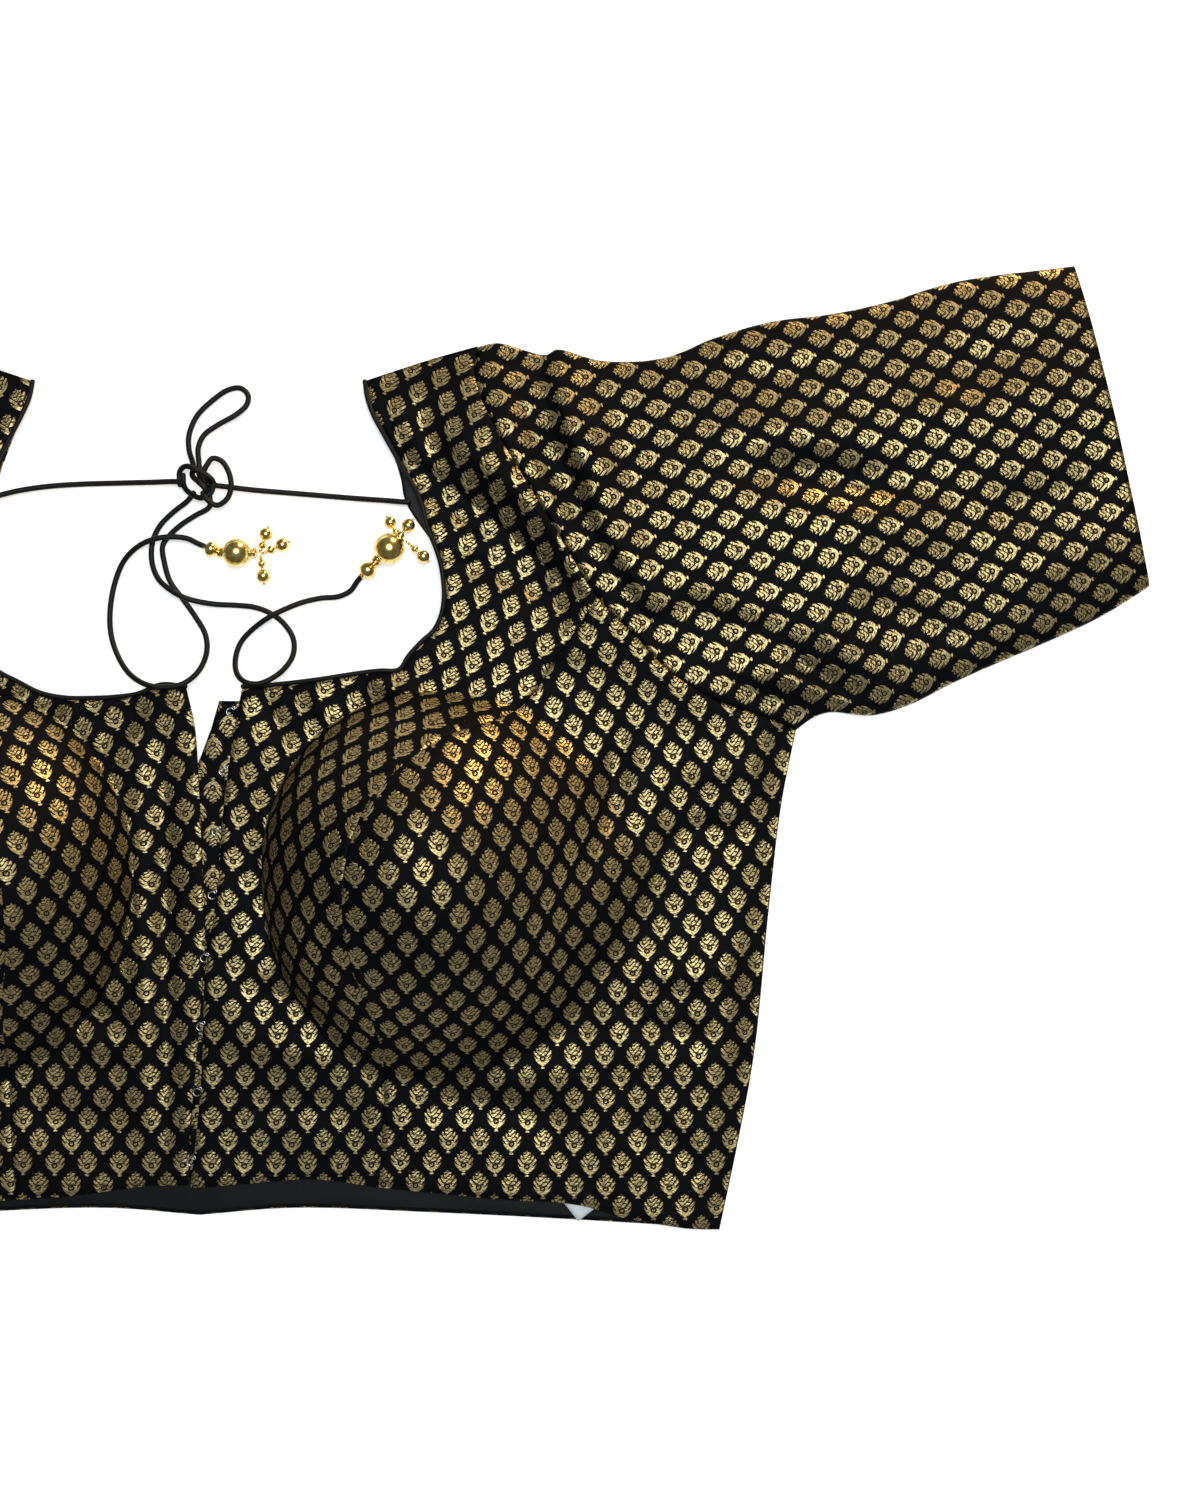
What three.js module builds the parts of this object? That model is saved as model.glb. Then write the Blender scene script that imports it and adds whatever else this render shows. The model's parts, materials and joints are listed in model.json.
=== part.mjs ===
// A choli blouse laid flat on its back: princess-seamed fronts with domed padded cups, wide
// sleeves, a deep back tied by cords with bead tassels. Millimetres, +Z up, +X the wearer's
// left, +Y towards the neck. The back rests on z = 0 and the fronts face up.
import * as THREE from 'three';
import { mergeVertices } from 'three/addons/utils/BufferGeometryUtils.js';

// ---------------------------------------------------------------- driving sizes
const CLOTH = 1.2; // wall of brocade with its lining
const FACING = 1.0; // wall of plain facings, the placket and the label
const GAP = 0.3; // between pieces that touch on the real garment
const BACK_TOP = CLOTH;
const FACING_UNDER = BACK_TOP + GAP;
const PLACKET_UNDER = FACING_UNDER + FACING + GAP;
const FRONT_EDGE = BACK_TOP + GAP; // underside of a front at the side seam and shoulder
const FRONT_FLAT = PLACKET_UNDER + FACING + 0.4; // underside of a front elsewhere
const EDGE_REACH = 16; // a front rises from its edge to its flat height over this
const CUP = { x: 94, y: -50, height: 50, medial: 67, lateral: 76, upper: 72, lower: 78 };
const CUP_SHAPE = { medial: 0.6, lateral: 1.6, upper: 0.75, lower: 0.8 }; // low is steep at the foot
const PIPING_RADIUS = 1.0;
const PIPING_SIDES = 6;
const CORD_DIAMETER = 2.3;
const CORD_SIDES = 8;
const HOOK_WIRE_RADIUS = 0.4;
const HOOK_RADIUS = 1.5;
const HOOK_SIDES = 6;
const HEM_FACING_DEPTH = 24;
const STRAP_FACING_WIDTH = 11;

const brocade = new THREE.MeshStandardMaterial({ color: 0x2a2418, roughness: 0.55, metalness: 0.1 });
const plainSatin = new THREE.MeshStandardMaterial({ color: 0x0b0c0e, roughness: 0.6, metalness: 0 });
const cordSatin = new THREE.MeshStandardMaterial({ color: 0x101010, roughness: 0.5, metalness: 0 });
const goldBrass = new THREE.MeshStandardMaterial({ color: 0xd2a545, roughness: 0.25, metalness: 1 });
const hookSteel = new THREE.MeshStandardMaterial({ color: 0xc8c8c6, roughness: 0.3, metalness: 1 });
const whiteTape = new THREE.MeshStandardMaterial({ color: 0xe9edf0, roughness: 0.8, metalness: 0 });

// ---------------------------------------------------------------- outlines, one side
// Every table is for the wearer's left; the right is its mirror unless it has its own rows.
const ARMHOLE = [
  { x: 114, y: 164 }, { x: 112.8, y: 152 }, { x: 119.7, y: 133 }, { x: 133, y: 109 },
  { x: 147.6, y: 86 }, { x: 163, y: 61 }, { x: 179.6, y: 44 }, { x: 191, y: 32 },
  { x: 209.5, y: 20 }, { x: 232.5, y: 12 }, { x: 244, y: 7 },
];
const SIDE_SEAM = [
  { x: 212.8, y: -197 }, { x: 220, y: -163 }, { x: 227, y: -125 }, { x: 233, y: -66 },
  { x: 238, y: -24 }, { x: 244, y: 7 },
];
const SHOULDER = [{ x: 68.5, y: 150 }, { x: 94.6, y: 158.5 }, { x: 114, y: 164 }];
const PRINCESS_SEAM = [
  { x: 76, y: -145 }, { x: 76, y: -121 }, { x: 72, y: -101 },
  { x: 67, y: -80 }, { x: 65.5, y: -56 }, { x: 69, y: -36 }, { x: 76, y: -20 },
  { x: 88, y: -7 }, { x: 104, y: 4 }, { x: 129, y: 14 }, { x: 145, y: 34 },
];
const STRAP_EDGE = [
  { x: 82.4, y: 31.2 }, { x: 89, y: 40 }, { x: 97.6, y: 48.5 }, { x: 101, y: 60 },
  { x: 99, y: 78 }, { x: 94.6, y: 89 }, { x: 91, y: 102 }, { x: 85, y: 113 },
  { x: 77, y: 127 }, { x: 70.5, y: 140 }, { x: 68.5, y: 150 },
];
const FRONTS = {
  left: {
    centreEdge: [
      { x: -2.6, y: -179.2 }, { x: 1.4, y: -140 }, { x: 2.6, y: -113 }, { x: 3.8, y: -86 },
      { x: 8.2, y: -60 }, { x: 9.8, y: -34 }, { x: 12.6, y: -10 }, { x: 18.2, y: 24.2 },
    ],
    neckline: [
      { x: 18.2, y: 24.2 }, { x: 28, y: 24.7 }, { x: 46.7, y: 26.7 }, { x: 70, y: 30.2 },
      { x: 82.4, y: 31.2 },
    ],
    hem: [
      { x: -2.6, y: -179.2 }, { x: 20, y: -177.6 }, { x: 49, y: -175.8 }, { x: 74, y: -179 },
    ],
    sideHem: [
      { x: 74, y: -179 }, { x: 118, y: -183.3 }, { x: 156, y: -186.3 }, { x: 173, y: -191 },
      { x: 197, y: -195.4 }, { x: 212.8, y: -197 },
    ],
  },
  right: {
    centreEdge: [
      { x: 4, y: -178 }, { x: 2, y: -144 }, { x: 0, y: -120 }, { x: -2.9, y: -79 },
      { x: -2, y: -50 }, { x: 0, y: -7 }, { x: 1.4, y: 10 }, { x: 4.6, y: 24.2 },
    ],
    neckline: [
      { x: 4.6, y: 24.2 }, { x: 15, y: 25 }, { x: 23, y: 21.6 }, { x: 43, y: 19.5 },
      { x: 62, y: 21 }, { x: 82.4, y: 31.2 },
    ],
    hem: [{ x: 4, y: -178 }, { x: 22, y: -178.8 }, { x: 50, y: -182.4 }, { x: 74, y: -184 }],
    sideHem: [
      { x: 74, y: -184 }, { x: 118, y: -187 }, { x: 173, y: -192.5 }, { x: 212.8, y: -197 },
    ],
  },
};
const SLEEVE_TOP = [
  { x: 114, y: 164 }, { x: 122, y: 165.6 }, { x: 142, y: 160.7 }, { x: 146, y: 163 },
  { x: 165, y: 158.3 }, { x: 190, y: 159.5 }, { x: 211, y: 167.7 }, { x: 233.5, y: 174.2 },
  { x: 259, y: 177.5 }, { x: 281, y: 182.2 }, { x: 309.5, y: 190.6 }, { x: 357.5, y: 197 },
];
const SLEEVE_UNDER = [
  { x: 244, y: 7 }, { x: 251, y: 12 }, { x: 258, y: 14.4 }, { x: 274.7, y: 13.1 },
  { x: 289, y: 16.8 }, { x: 311.6, y: 27.9 }, { x: 367, y: 52.5 }, { x: 388.5, y: 65.6 },
];
const CUFF = [
  { x: 357.5, y: 197 }, { x: 366, y: 160.5 }, { x: 375.4, y: 120 }, { x: 384.6, y: 80.5 },
  { x: 388.5, y: 65.6 },
];
const BACK_HEM = [
  { x: 0, y: -191.5 }, { x: 38, y: -188.6 }, { x: 94, y: -190.4 }, { x: 156, y: -193.5 },
  { x: 212.8, y: -197 },
];
const BACK_NECK = [
  { x: 68.5, y: 150 }, { x: 76, y: 128 }, { x: 82, y: 111.5 }, { x: 84, y: 101 },
  { x: 90, y: 91 }, { x: 96.5, y: 82 }, { x: 104, y: 62 }, { x: 106, y: 30 }, { x: 98, y: 5 },
  { x: 78, y: -20 }, { x: 45, y: -36 }, { x: 0, y: -41 },
];
// Each row crosses the placket strip: its two edges at that height up the front.
const PLACKET = [
  { y: -176, left: -11, right: 4 }, { y: -120, left: -8, right: 9 }, { y: -60, left: -8, right: 13 },
  { y: -20, left: -6, right: 15.5 }, { y: -5, left: 0.6, right: 17.5 }, { y: 8, left: 5.5, right: 19.5 },
  { y: 19, left: 8.6, right: 21 },
];
// A hook's middle; over says that it bridges the two fronts instead of lying on the placket.
const HOOKS = [
  { x: 13.3, y: 14.5, over: false }, { x: 10.3, y: -9.8, over: false },
  { x: 7.4, y: -34.4, over: false }, { x: 5.9, y: -60.3, over: false },
  { x: 3, y: -85.7, over: true }, { x: 1.4, y: -113.6, over: true },
  { x: 0, y: -140.2, over: true }, { x: -2.4, y: -168.5, over: true },
];
// The largest folds: a line, how far it reaches to each side, and its rise (less than 0 sinks).
const FRONT_FOLDS = [
  { x1: 122, y1: 128, x2: 205, y2: 30, reach: 20, rise: 4.0 }, // the armhole stands up
  { x1: 92, y1: 128, x2: 138, y2: 78, reach: 9, rise: -1.2 }, // trough down the strap
  { x1: 160, y1: -10, x2: 176, y2: -120, reach: 16, rise: 2.5 }, // side of the cup
];
const SLEEVE_FOLDS = [
  { x1: 144, y1: 160, x2: 157, y2: 109, reach: 7, rise: -1.6 }, // fold at the sleeve head
  { x1: 157, y1: 109, x2: 182, y2: 52, reach: 7, rise: -1.6 },
  { x1: 250, y1: 116, x2: 330, y2: 100, reach: 14, rise: -1.6 }, // long trough to the cuff
];
// Rise of a sleeve's upper layer in its middle, at shares of the way from armhole to cuff.
const SLEEVE_FULLNESS = [{ v: 0.3, rise: 9 }, { v: 1, rise: 8.2 }];

// ---------------------------------------------------------------- curves and panels
const plan = (row) => new THREE.Vector3(row.x, row.y, 0);
const clamp01 = (value) => Math.min(1, Math.max(0, value));
const smooth = (value) => clamp01(value) ** 2 * (3 - 2 * clamp01(value));

function along(table, segments) {
  const curve = new THREE.CatmullRomCurve3(table.map(plan), false, 'centripetal');
  return curve.getSpacedPoints(segments);
}

function joined(...runs) {
  return runs.flatMap((run, index) => (index ? run.slice(1) : run));
}

function halved(points) {
  const middles = points.slice(1).map((point, i) => [point.clone().add(points[i]).multiplyScalar(0.5), point]);
  return [points[0], ...middles.flat()];
}

// A closed outline moved inwards by a distance, with mitred corners; it runs anticlockwise.
function inset(loop, distance) {
  const sideOf = (a, b) => new THREE.Vector3(a.y - b.y, b.x - a.x, 0).normalize();
  return loop.map((point, i) => {
    const before = sideOf(loop[(i + loop.length - 1) % loop.length], point);
    const after = sideOf(point, loop[(i + 1) % loop.length]);
    const mitre = before.clone().add(after).normalize();
    return point.clone().addScaledVector(mitre, distance / Math.max(0.5, mitre.dot(after)));
  });
}

const outlineOf = (bottom, right, top, left) => [
  ...bottom.slice(0, -1), ...right.slice(0, -1), ...top.slice(1).reverse(), ...left.slice(1).reverse(),
];

// Rows of plan points that fill four edges; the edges give up GAP / 2 to their neighbours.
function coons(bottom, right, top, left) {
  const [nu, nv] = [bottom.length - 1, left.length - 1];
  const ring = inset(outlineOf(bottom, right, top, left), GAP / 2);
  const at = (index) => ring[index % ring.length];
  const corner = [at(0), at(nu), at(nu + nv), at(2 * nu + nv)];
  const mix = (a, b, t) => a.clone().lerp(b, t);
  return Array.from({ length: nv + 1 }, (_, j) => Array.from({ length: nu + 1 }, (__, i) => {
    const [u, v] = [i / nu, j / nv];
    const across = mix(at(2 * nu + 2 * nv - j), at(nu + j), u);
    const up = mix(at(i), at(2 * nu + nv - i), v);
    const flat = mix(mix(corner[0], corner[1], u), mix(corner[3], corner[2], u), v);
    return across.add(up).sub(flat);
  }));
}

function distanceTo(points, x, y) {
  let nearest = Infinity;
  for (let i = 1; i < points.length; i += 1) {
    const line = new THREE.Line3(plan(points[i - 1]), plan(points[i]));
    const foot = line.closestPointToPoint(new THREE.Vector3(x, y, 0), true, new THREE.Vector3());
    nearest = Math.min(nearest, Math.hypot(foot.x - x, foot.y - y));
  }
  return nearest;
}

function foldRise(folds, x, y) {
  return folds.reduce((sum, fold) => {
    const ends = [{ x: fold.x1, y: fold.y1 }, { x: fold.x2, y: fold.y2 }];
    return sum + fold.rise * Math.exp(-((distanceTo(ends, x, y) / fold.reach) ** 2));
  }, 0);
}

function cupRise(x, y) {
  const across = (x - CUP.x) / (x < CUP.x ? CUP.medial : CUP.lateral);
  const up = (y - CUP.y) / (y > CUP.y ? CUP.upper : CUP.lower);
  const squared = across ** 2 + up ** 2;
  if (squared >= 1) return 0;
  if (squared < 1e-6) return CUP.height;
  const acrossShape = x < CUP.x ? CUP_SHAPE.medial : CUP_SHAPE.lateral;
  const upShape = y > CUP.y ? CUP_SHAPE.upper : CUP_SHAPE.lower;
  const shape = (across ** 2 * acrossShape + up ** 2 * upShape) / squared;
  return CUP.height * (1 - squared) ** shape;
}

// Height of a front's underside over the table.
function frontHeight(x, y) {
  const edge = smooth(Math.min(distanceTo(SIDE_SEAM, x, y), distanceTo(SHOULDER, x, y)) / EDGE_REACH);
  return FRONT_EDGE + edge * (FRONT_FLAT - FRONT_EDGE + foldRise(FRONT_FOLDS, x, y)) + cupRise(x, y);
}

function frontNormal(x, y) {
  const step = 3;
  const slopeX = (frontHeight(x + step, y) - frontHeight(x - step, y)) / (2 * step);
  const slopeY = (frontHeight(x, y + step) - frontHeight(x, y - step)) / (2 * step);
  return new THREE.Vector3(-slopeX, -slopeY, 1).normalize();
}

// ---------------------------------------------------------------- solids
function solid(positions, index) {
  const geometry = new THREE.BufferGeometry();
  geometry.setAttribute('position', new THREE.Float32BufferAttribute(positions, 3));
  geometry.setIndex(index);
  return facingOut(geometry);
}

// Merged vertices, and faces that all point out of the body.
function facingOut(source) {
  const bare = new THREE.BufferGeometry();
  bare.setAttribute('position', source.getAttribute('position'));
  if (source.index) bare.setIndex(source.index);
  const geometry = mergeVertices(bare, 1e-4);
  const place = geometry.getAttribute('position');
  const corners = Array.from(geometry.index.array);
  const point = (i) => new THREE.Vector3().fromBufferAttribute(place, corners[i]);
  let volume = 0;
  for (let i = 0; i < corners.length; i += 3) volume += point(i).dot(point(i + 1).cross(point(i + 2)));
  if (volume < 0) geometry.setIndex(corners.map((_, i) => corners[i + (i % 3 === 1 ? 1 : i % 3 === 2 ? -1 : 0)]));
  geometry.computeVertexNormals();
  return geometry;
}

// A closed wall between two grids of points, such as the two faces of a cloth panel.
function wall(under, over) {
  const [rows, columns] = [under.length, under[0].length];
  const positions = [...under.flat(), ...over.flat()].flatMap((point) => point.toArray());
  const low = (j, i) => j * columns + i;
  const high = (j, i) => rows * columns + low(j, i);
  const index = [];
  const quad = (a, b, c, d) => index.push(a, b, c, a, c, d);
  for (let j = 0; j < rows - 1; j += 1) {
    for (let i = 0; i < columns - 1; i += 1) {
      quad(high(j, i), high(j, i + 1), high(j + 1, i + 1), high(j + 1, i));
      quad(low(j, i), low(j + 1, i), low(j + 1, i + 1), low(j, i + 1));
    }
  }
  for (let i = 0; i < columns - 1; i += 1) {
    quad(low(0, i), low(0, i + 1), high(0, i + 1), high(0, i));
    quad(low(rows - 1, i + 1), low(rows - 1, i), high(rows - 1, i), high(rows - 1, i + 1));
  }
  for (let j = 0; j < rows - 1; j += 1) {
    quad(low(j + 1, 0), low(j, 0), high(j, 0), high(j + 1, 0));
    quad(low(j, columns - 1), low(j + 1, columns - 1), high(j + 1, columns - 1), high(j, columns - 1));
  }
  return solid(positions, index);
}

// A tube with open ends: outer and inner rings of equal counts, joined by a rim at each end.
function openTube(outer, inner) {
  const [rings, count] = [outer.length, outer[0].length];
  const positions = [...outer.flat(), ...inner.flat()].flatMap((point) => point.toArray());
  const out = (k, i) => k * count + (i % count);
  const into = (k, i) => rings * count + out(k, i);
  const index = [];
  const quad = (a, b, c, d) => index.push(a, b, c, a, c, d);
  for (let i = 0; i < count; i += 1) {
    for (let k = 0; k < rings - 1; k += 1) {
      quad(out(k, i), out(k, i + 1), out(k + 1, i + 1), out(k + 1, i));
      quad(into(k, i), into(k + 1, i), into(k + 1, i + 1), into(k, i + 1));
    }
    quad(out(0, i), into(0, i), into(0, i + 1), out(0, i + 1));
    quad(out(rings - 1, i), out(rings - 1, i + 1), into(rings - 1, i + 1), into(rings - 1, i));
  }
  return solid(positions, index);
}

// A closed tube of straight stretches whose rings stand on the corners of its route.
function jointedTube(route, radius, sides) {
  const rings = route.map((point, i) => {
    const before = point.clone().sub(route[Math.max(i - 1, 0)]).setZ(0).normalize();
    const after = route[Math.min(i + 1, route.length - 1)].clone().sub(point).setZ(0).normalize();
    const ahead = before.add(after).normalize();
    const cos = i && i < route.length - 1 ? ahead.dot(after) : 1;
    return Array.from({ length: sides }, (_, k) => {
      const turn = (2 * Math.PI * k) / sides;
      const across = (radius * Math.cos(turn)) / Math.max(0.6, cos);
      return point.clone().add(new THREE.Vector3(-ahead.y * across, ahead.x * across, radius * Math.sin(turn)));
    });
  });
  const index = [];
  const last = (rings.length - 1) * sides;
  for (let k = 0; k < sides; k += 1) {
    const next = (k + 1) % sides;
    for (let i = 0; i < last; i += sides) index.push(i + k, i + next, i + sides + next, i + k, i + sides + next, i + sides + k);
    if (k && next) index.push(0, next, k, last, last + k, last + next);
  }
  return solid(rings.flat().flatMap((point) => point.toArray()), index);
}

function mirrored(geometry) {
  return facingOut(geometry.clone().applyMatrix4(new THREE.Matrix4().makeScale(-1, 1, 1)));
}

function slab(outline, under, thickness) {
  const shape = new THREE.Shape(outline.map((point) => new THREE.Vector2(point.x, point.y)));
  const geometry = new THREE.ExtrudeGeometry(shape, { depth: thickness, bevelEnabled: false });
  return facingOut(geometry.translate(0, 0, under));
}

function roundTube(points, radius, sides, steps) {
  const section = new THREE.Shape().absarc(0, 0, radius, 0, 2 * Math.PI);
  const extrudePath = new THREE.CatmullRomCurve3(points, false, 'centripetal');
  // A full circle is cut into twice its curveSegments.
  const options = { steps, extrudePath, curveSegments: sides / 2, bevelEnabled: false };
  return facingOut(new THREE.ExtrudeGeometry(section, options));
}

const blouse = new THREE.Group();

function add(name, geometry, material) {
  const mesh = new THREE.Mesh(geometry, material);
  mesh.name = name;
  blouse.add(mesh);
  return mesh;
}

// ---------------------------------------------------------------- fronts
const armhole = along(ARMHOLE, 13);
const PRINCESS_TOP = 7; // the armhole point where the princess seam ends
const sideSeam = along(SIDE_SEAM, 16);
const strapEdge = along(STRAP_EDGE, 9);
const princessOf = (edges) => along([edges.hem.at(-1), ...PRINCESS_SEAM, armhole[PRINCESS_TOP]], 16);

function clothPanel(grid) {
  const under = grid.map((row) => row.map(({ x, y }) => new THREE.Vector3(x, y, frontHeight(x, y))));
  const over = under.map((row) => row.map((point) => (
    point.clone().addScaledVector(frontNormal(point.x, point.y), CLOTH))));
  return wall(under, over);
}

const CENTRE_RUN = { centreEdge: 10, neckline: 4, strap: 9 }; // rows of a front's centre panel

function frontCentreEdges(edges) {
  const inner = joined(along(edges.centreEdge, CENTRE_RUN.centreEdge),
    along(edges.neckline, CENTRE_RUN.neckline), strapEdge);
  const outer = joined(princessOf(edges), armhole.slice(0, PRINCESS_TOP + 1).reverse());
  return [along(edges.hem, 10), outer, along(SHOULDER, 10), inner];
}

const frontCentre = (edges) => clothPanel(coons(...frontCentreEdges(edges)));

function frontSide(edges) {
  const top = halved(armhole.slice(PRINCESS_TOP));
  return clothPanel(coons(along(edges.sideHem, 12), sideSeam, top, princessOf(edges)));
}

function neckPiping(edges) {
  const runs = frontCentreEdges(edges);
  const [across, up] = [runs[0].length - 1, runs[1].length - 1];
  const start = 2 * across + up;
  const edge = inset(outlineOf(...runs), -PIPING_RADIUS - GAP / 2);
  const route = edge.slice(start, start + CENTRE_RUN.neckline + CENTRE_RUN.strap + 1).map((point) => {
    const z = Math.max(frontHeight(point.x, point.y) + CLOTH / 2, BACK_TOP + GAP + PIPING_RADIUS);
    return new THREE.Vector3(point.x, point.y, z);
  });
  return jointedTube(route, PIPING_RADIUS, PIPING_SIDES);
}

// ---------------------------------------------------------------- sleeves
const SLEEVE_RINGS = 12;

function sleeveUnder(point, i, j) {
  const [u, v] = [i / (armhole.length - 1), j / SLEEVE_RINGS];
  if (j === 0) return Math.max(frontHeight(point.x, point.y), BACK_TOP + GAP);
  const [near, far] = SLEEVE_FULLNESS;
  const start = frontHeight(armhole[i].x, armhole[i].y) - BACK_TOP - GAP;
  const full = near.rise + (far.rise - near.rise) * clamp01((v - near.v) / (far.v - near.v));
  const arch = Math.max(0, Math.sin(Math.PI * u)) ** 0.55;
  const rise = start + (full * arch - start) * smooth(v / near.v);
  return BACK_TOP + GAP + Math.max(0, rise + arch * foldRise(SLEEVE_FOLDS, point.x, point.y));
}

function sleeveSolid() {
  const count = armhole.length - 1;
  const top = along(SLEEVE_TOP, SLEEVE_RINGS);
  const under = along(SLEEVE_UNDER, SLEEVE_RINGS);
  // Anticlockwise: along the underarm, up the cuff, back along the top and down the armhole.
  const rows = coons(under, along(CUFF, count).reverse(), top, armhole.slice().reverse());
  const rings = top.map((_, j) => rows.map((row) => row[j]).reverse());
  const outer = [];
  const inner = [];
  rings.forEach((ring, j) => {
    const upper = ring.map((p, i) => new THREE.Vector3(p.x, p.y, sleeveUnder(p, i, j)));
    const lift = ring.map((p, i) => (j ? new THREE.Vector3(0, 0, 1) : frontNormal(armhole[i].x, armhole[i].y)));
    const into = ring.map((p, i) => {
      const neighbour = i === 0 ? ring[1] : i === count ? ring[count - 1] : p;
      return neighbour === p ? p.clone() : p.clone().add(neighbour.clone().sub(p).setLength(CLOTH));
    });
    const above = upper.map((p, i) => p.clone().addScaledVector(lift[i], CLOTH));
    outer.push([...above, ...ring.slice().reverse()]);
    inner.push([
      ...into.map((p, i) => new THREE.Vector3(p.x, p.y, upper[i].z)),
      ...into.slice().reverse().map((p) => new THREE.Vector3(p.x, p.y, BACK_TOP)),
    ]);
  });
  return openTube(outer, inner);
}

// ---------------------------------------------------------------- back, facings and label
const mirrorPoint = (point) => new THREE.Vector3(-point.x, point.y, point.z);

function backOutline() {
  const side = joined(along(BACK_HEM, 8), sideSeam, armhole.slice().reverse(),
    along(SHOULDER, 3).reverse(), along(BACK_NECK, 22));
  return [...side.slice(0, -1), ...side.slice(1).reverse().map(mirrorPoint)];
}

function flatWall(grid, under, thickness) {
  const lifted = (z) => grid.map((row) => row.map((point) => new THREE.Vector3(point.x, point.y, z)));
  return wall(lifted(under), lifted(under + thickness));
}

function hemFacing() {
  const half = along(BACK_HEM, 8).slice(0, -1);
  const hem = [...half.slice(1).reverse().map(mirrorPoint), ...half];
  const grid = [1, HEM_FACING_DEPTH].map((rise) => hem.map((p) => new THREE.Vector3(p.x, p.y + rise, 0)));
  return flatWall(grid, FACING_UNDER, FACING);
}

function strapFacing() {
  const edge = along(BACK_NECK.slice(1, 7), 10);
  const grid = [GAP, STRAP_FACING_WIDTH].map((shift) => edge.map((p) => new THREE.Vector3(p.x + shift, p.y, 0)));
  return flatWall(grid, FACING_UNDER, FACING);
}

function placketStrip() {
  const grid = PLACKET.map((row) => [row.left, row.right].map((x) => new THREE.Vector3(x, row.y, 0)));
  return flatWall(grid, PLACKET_UNDER, FACING);
}

function sizeLabel() {
  const half = { width: 9, length: 13 };
  const outline = [[-1, -1], [1, -1], [1, 1], [-1, 1]].map(([across, up]) => (
    new THREE.Vector3(across * half.width, up * half.length, 0)));
  const turn = new THREE.Matrix4().makeRotationZ(THREE.MathUtils.degToRad(38));
  const place = new THREE.Matrix4().makeTranslation(154.2, -177.5, 0);
  return slab(outline.map((p) => p.applyMatrix4(turn).applyMatrix4(place)), PLACKET_UNDER, FACING);
}

// ---------------------------------------------------------------- hooks
function hook({ x, y, over }) {
  const surface = over ? FRONT_FLAT + CLOTH : PLACKET_UNDER + FACING;
  const z = surface + GAP + HOOK_WIRE_RADIUS;
  const route = Array.from({ length: 7 }, (_, i) => {
    const turn = THREE.MathUtils.degToRad(50 + i * 43);
    return new THREE.Vector3(x + HOOK_RADIUS * Math.cos(turn), y + HOOK_RADIUS * Math.sin(turn), z);
  });
  return roundTube(route, HOOK_WIRE_RADIUS, HOOK_SIDES, 6);
}

// ---------------------------------------------------------------- cords
const KNOT = { x: 0, y: 108.2, z: 4.6, width: 6.6, height: 7.2, depth: 4.4 };
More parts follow.
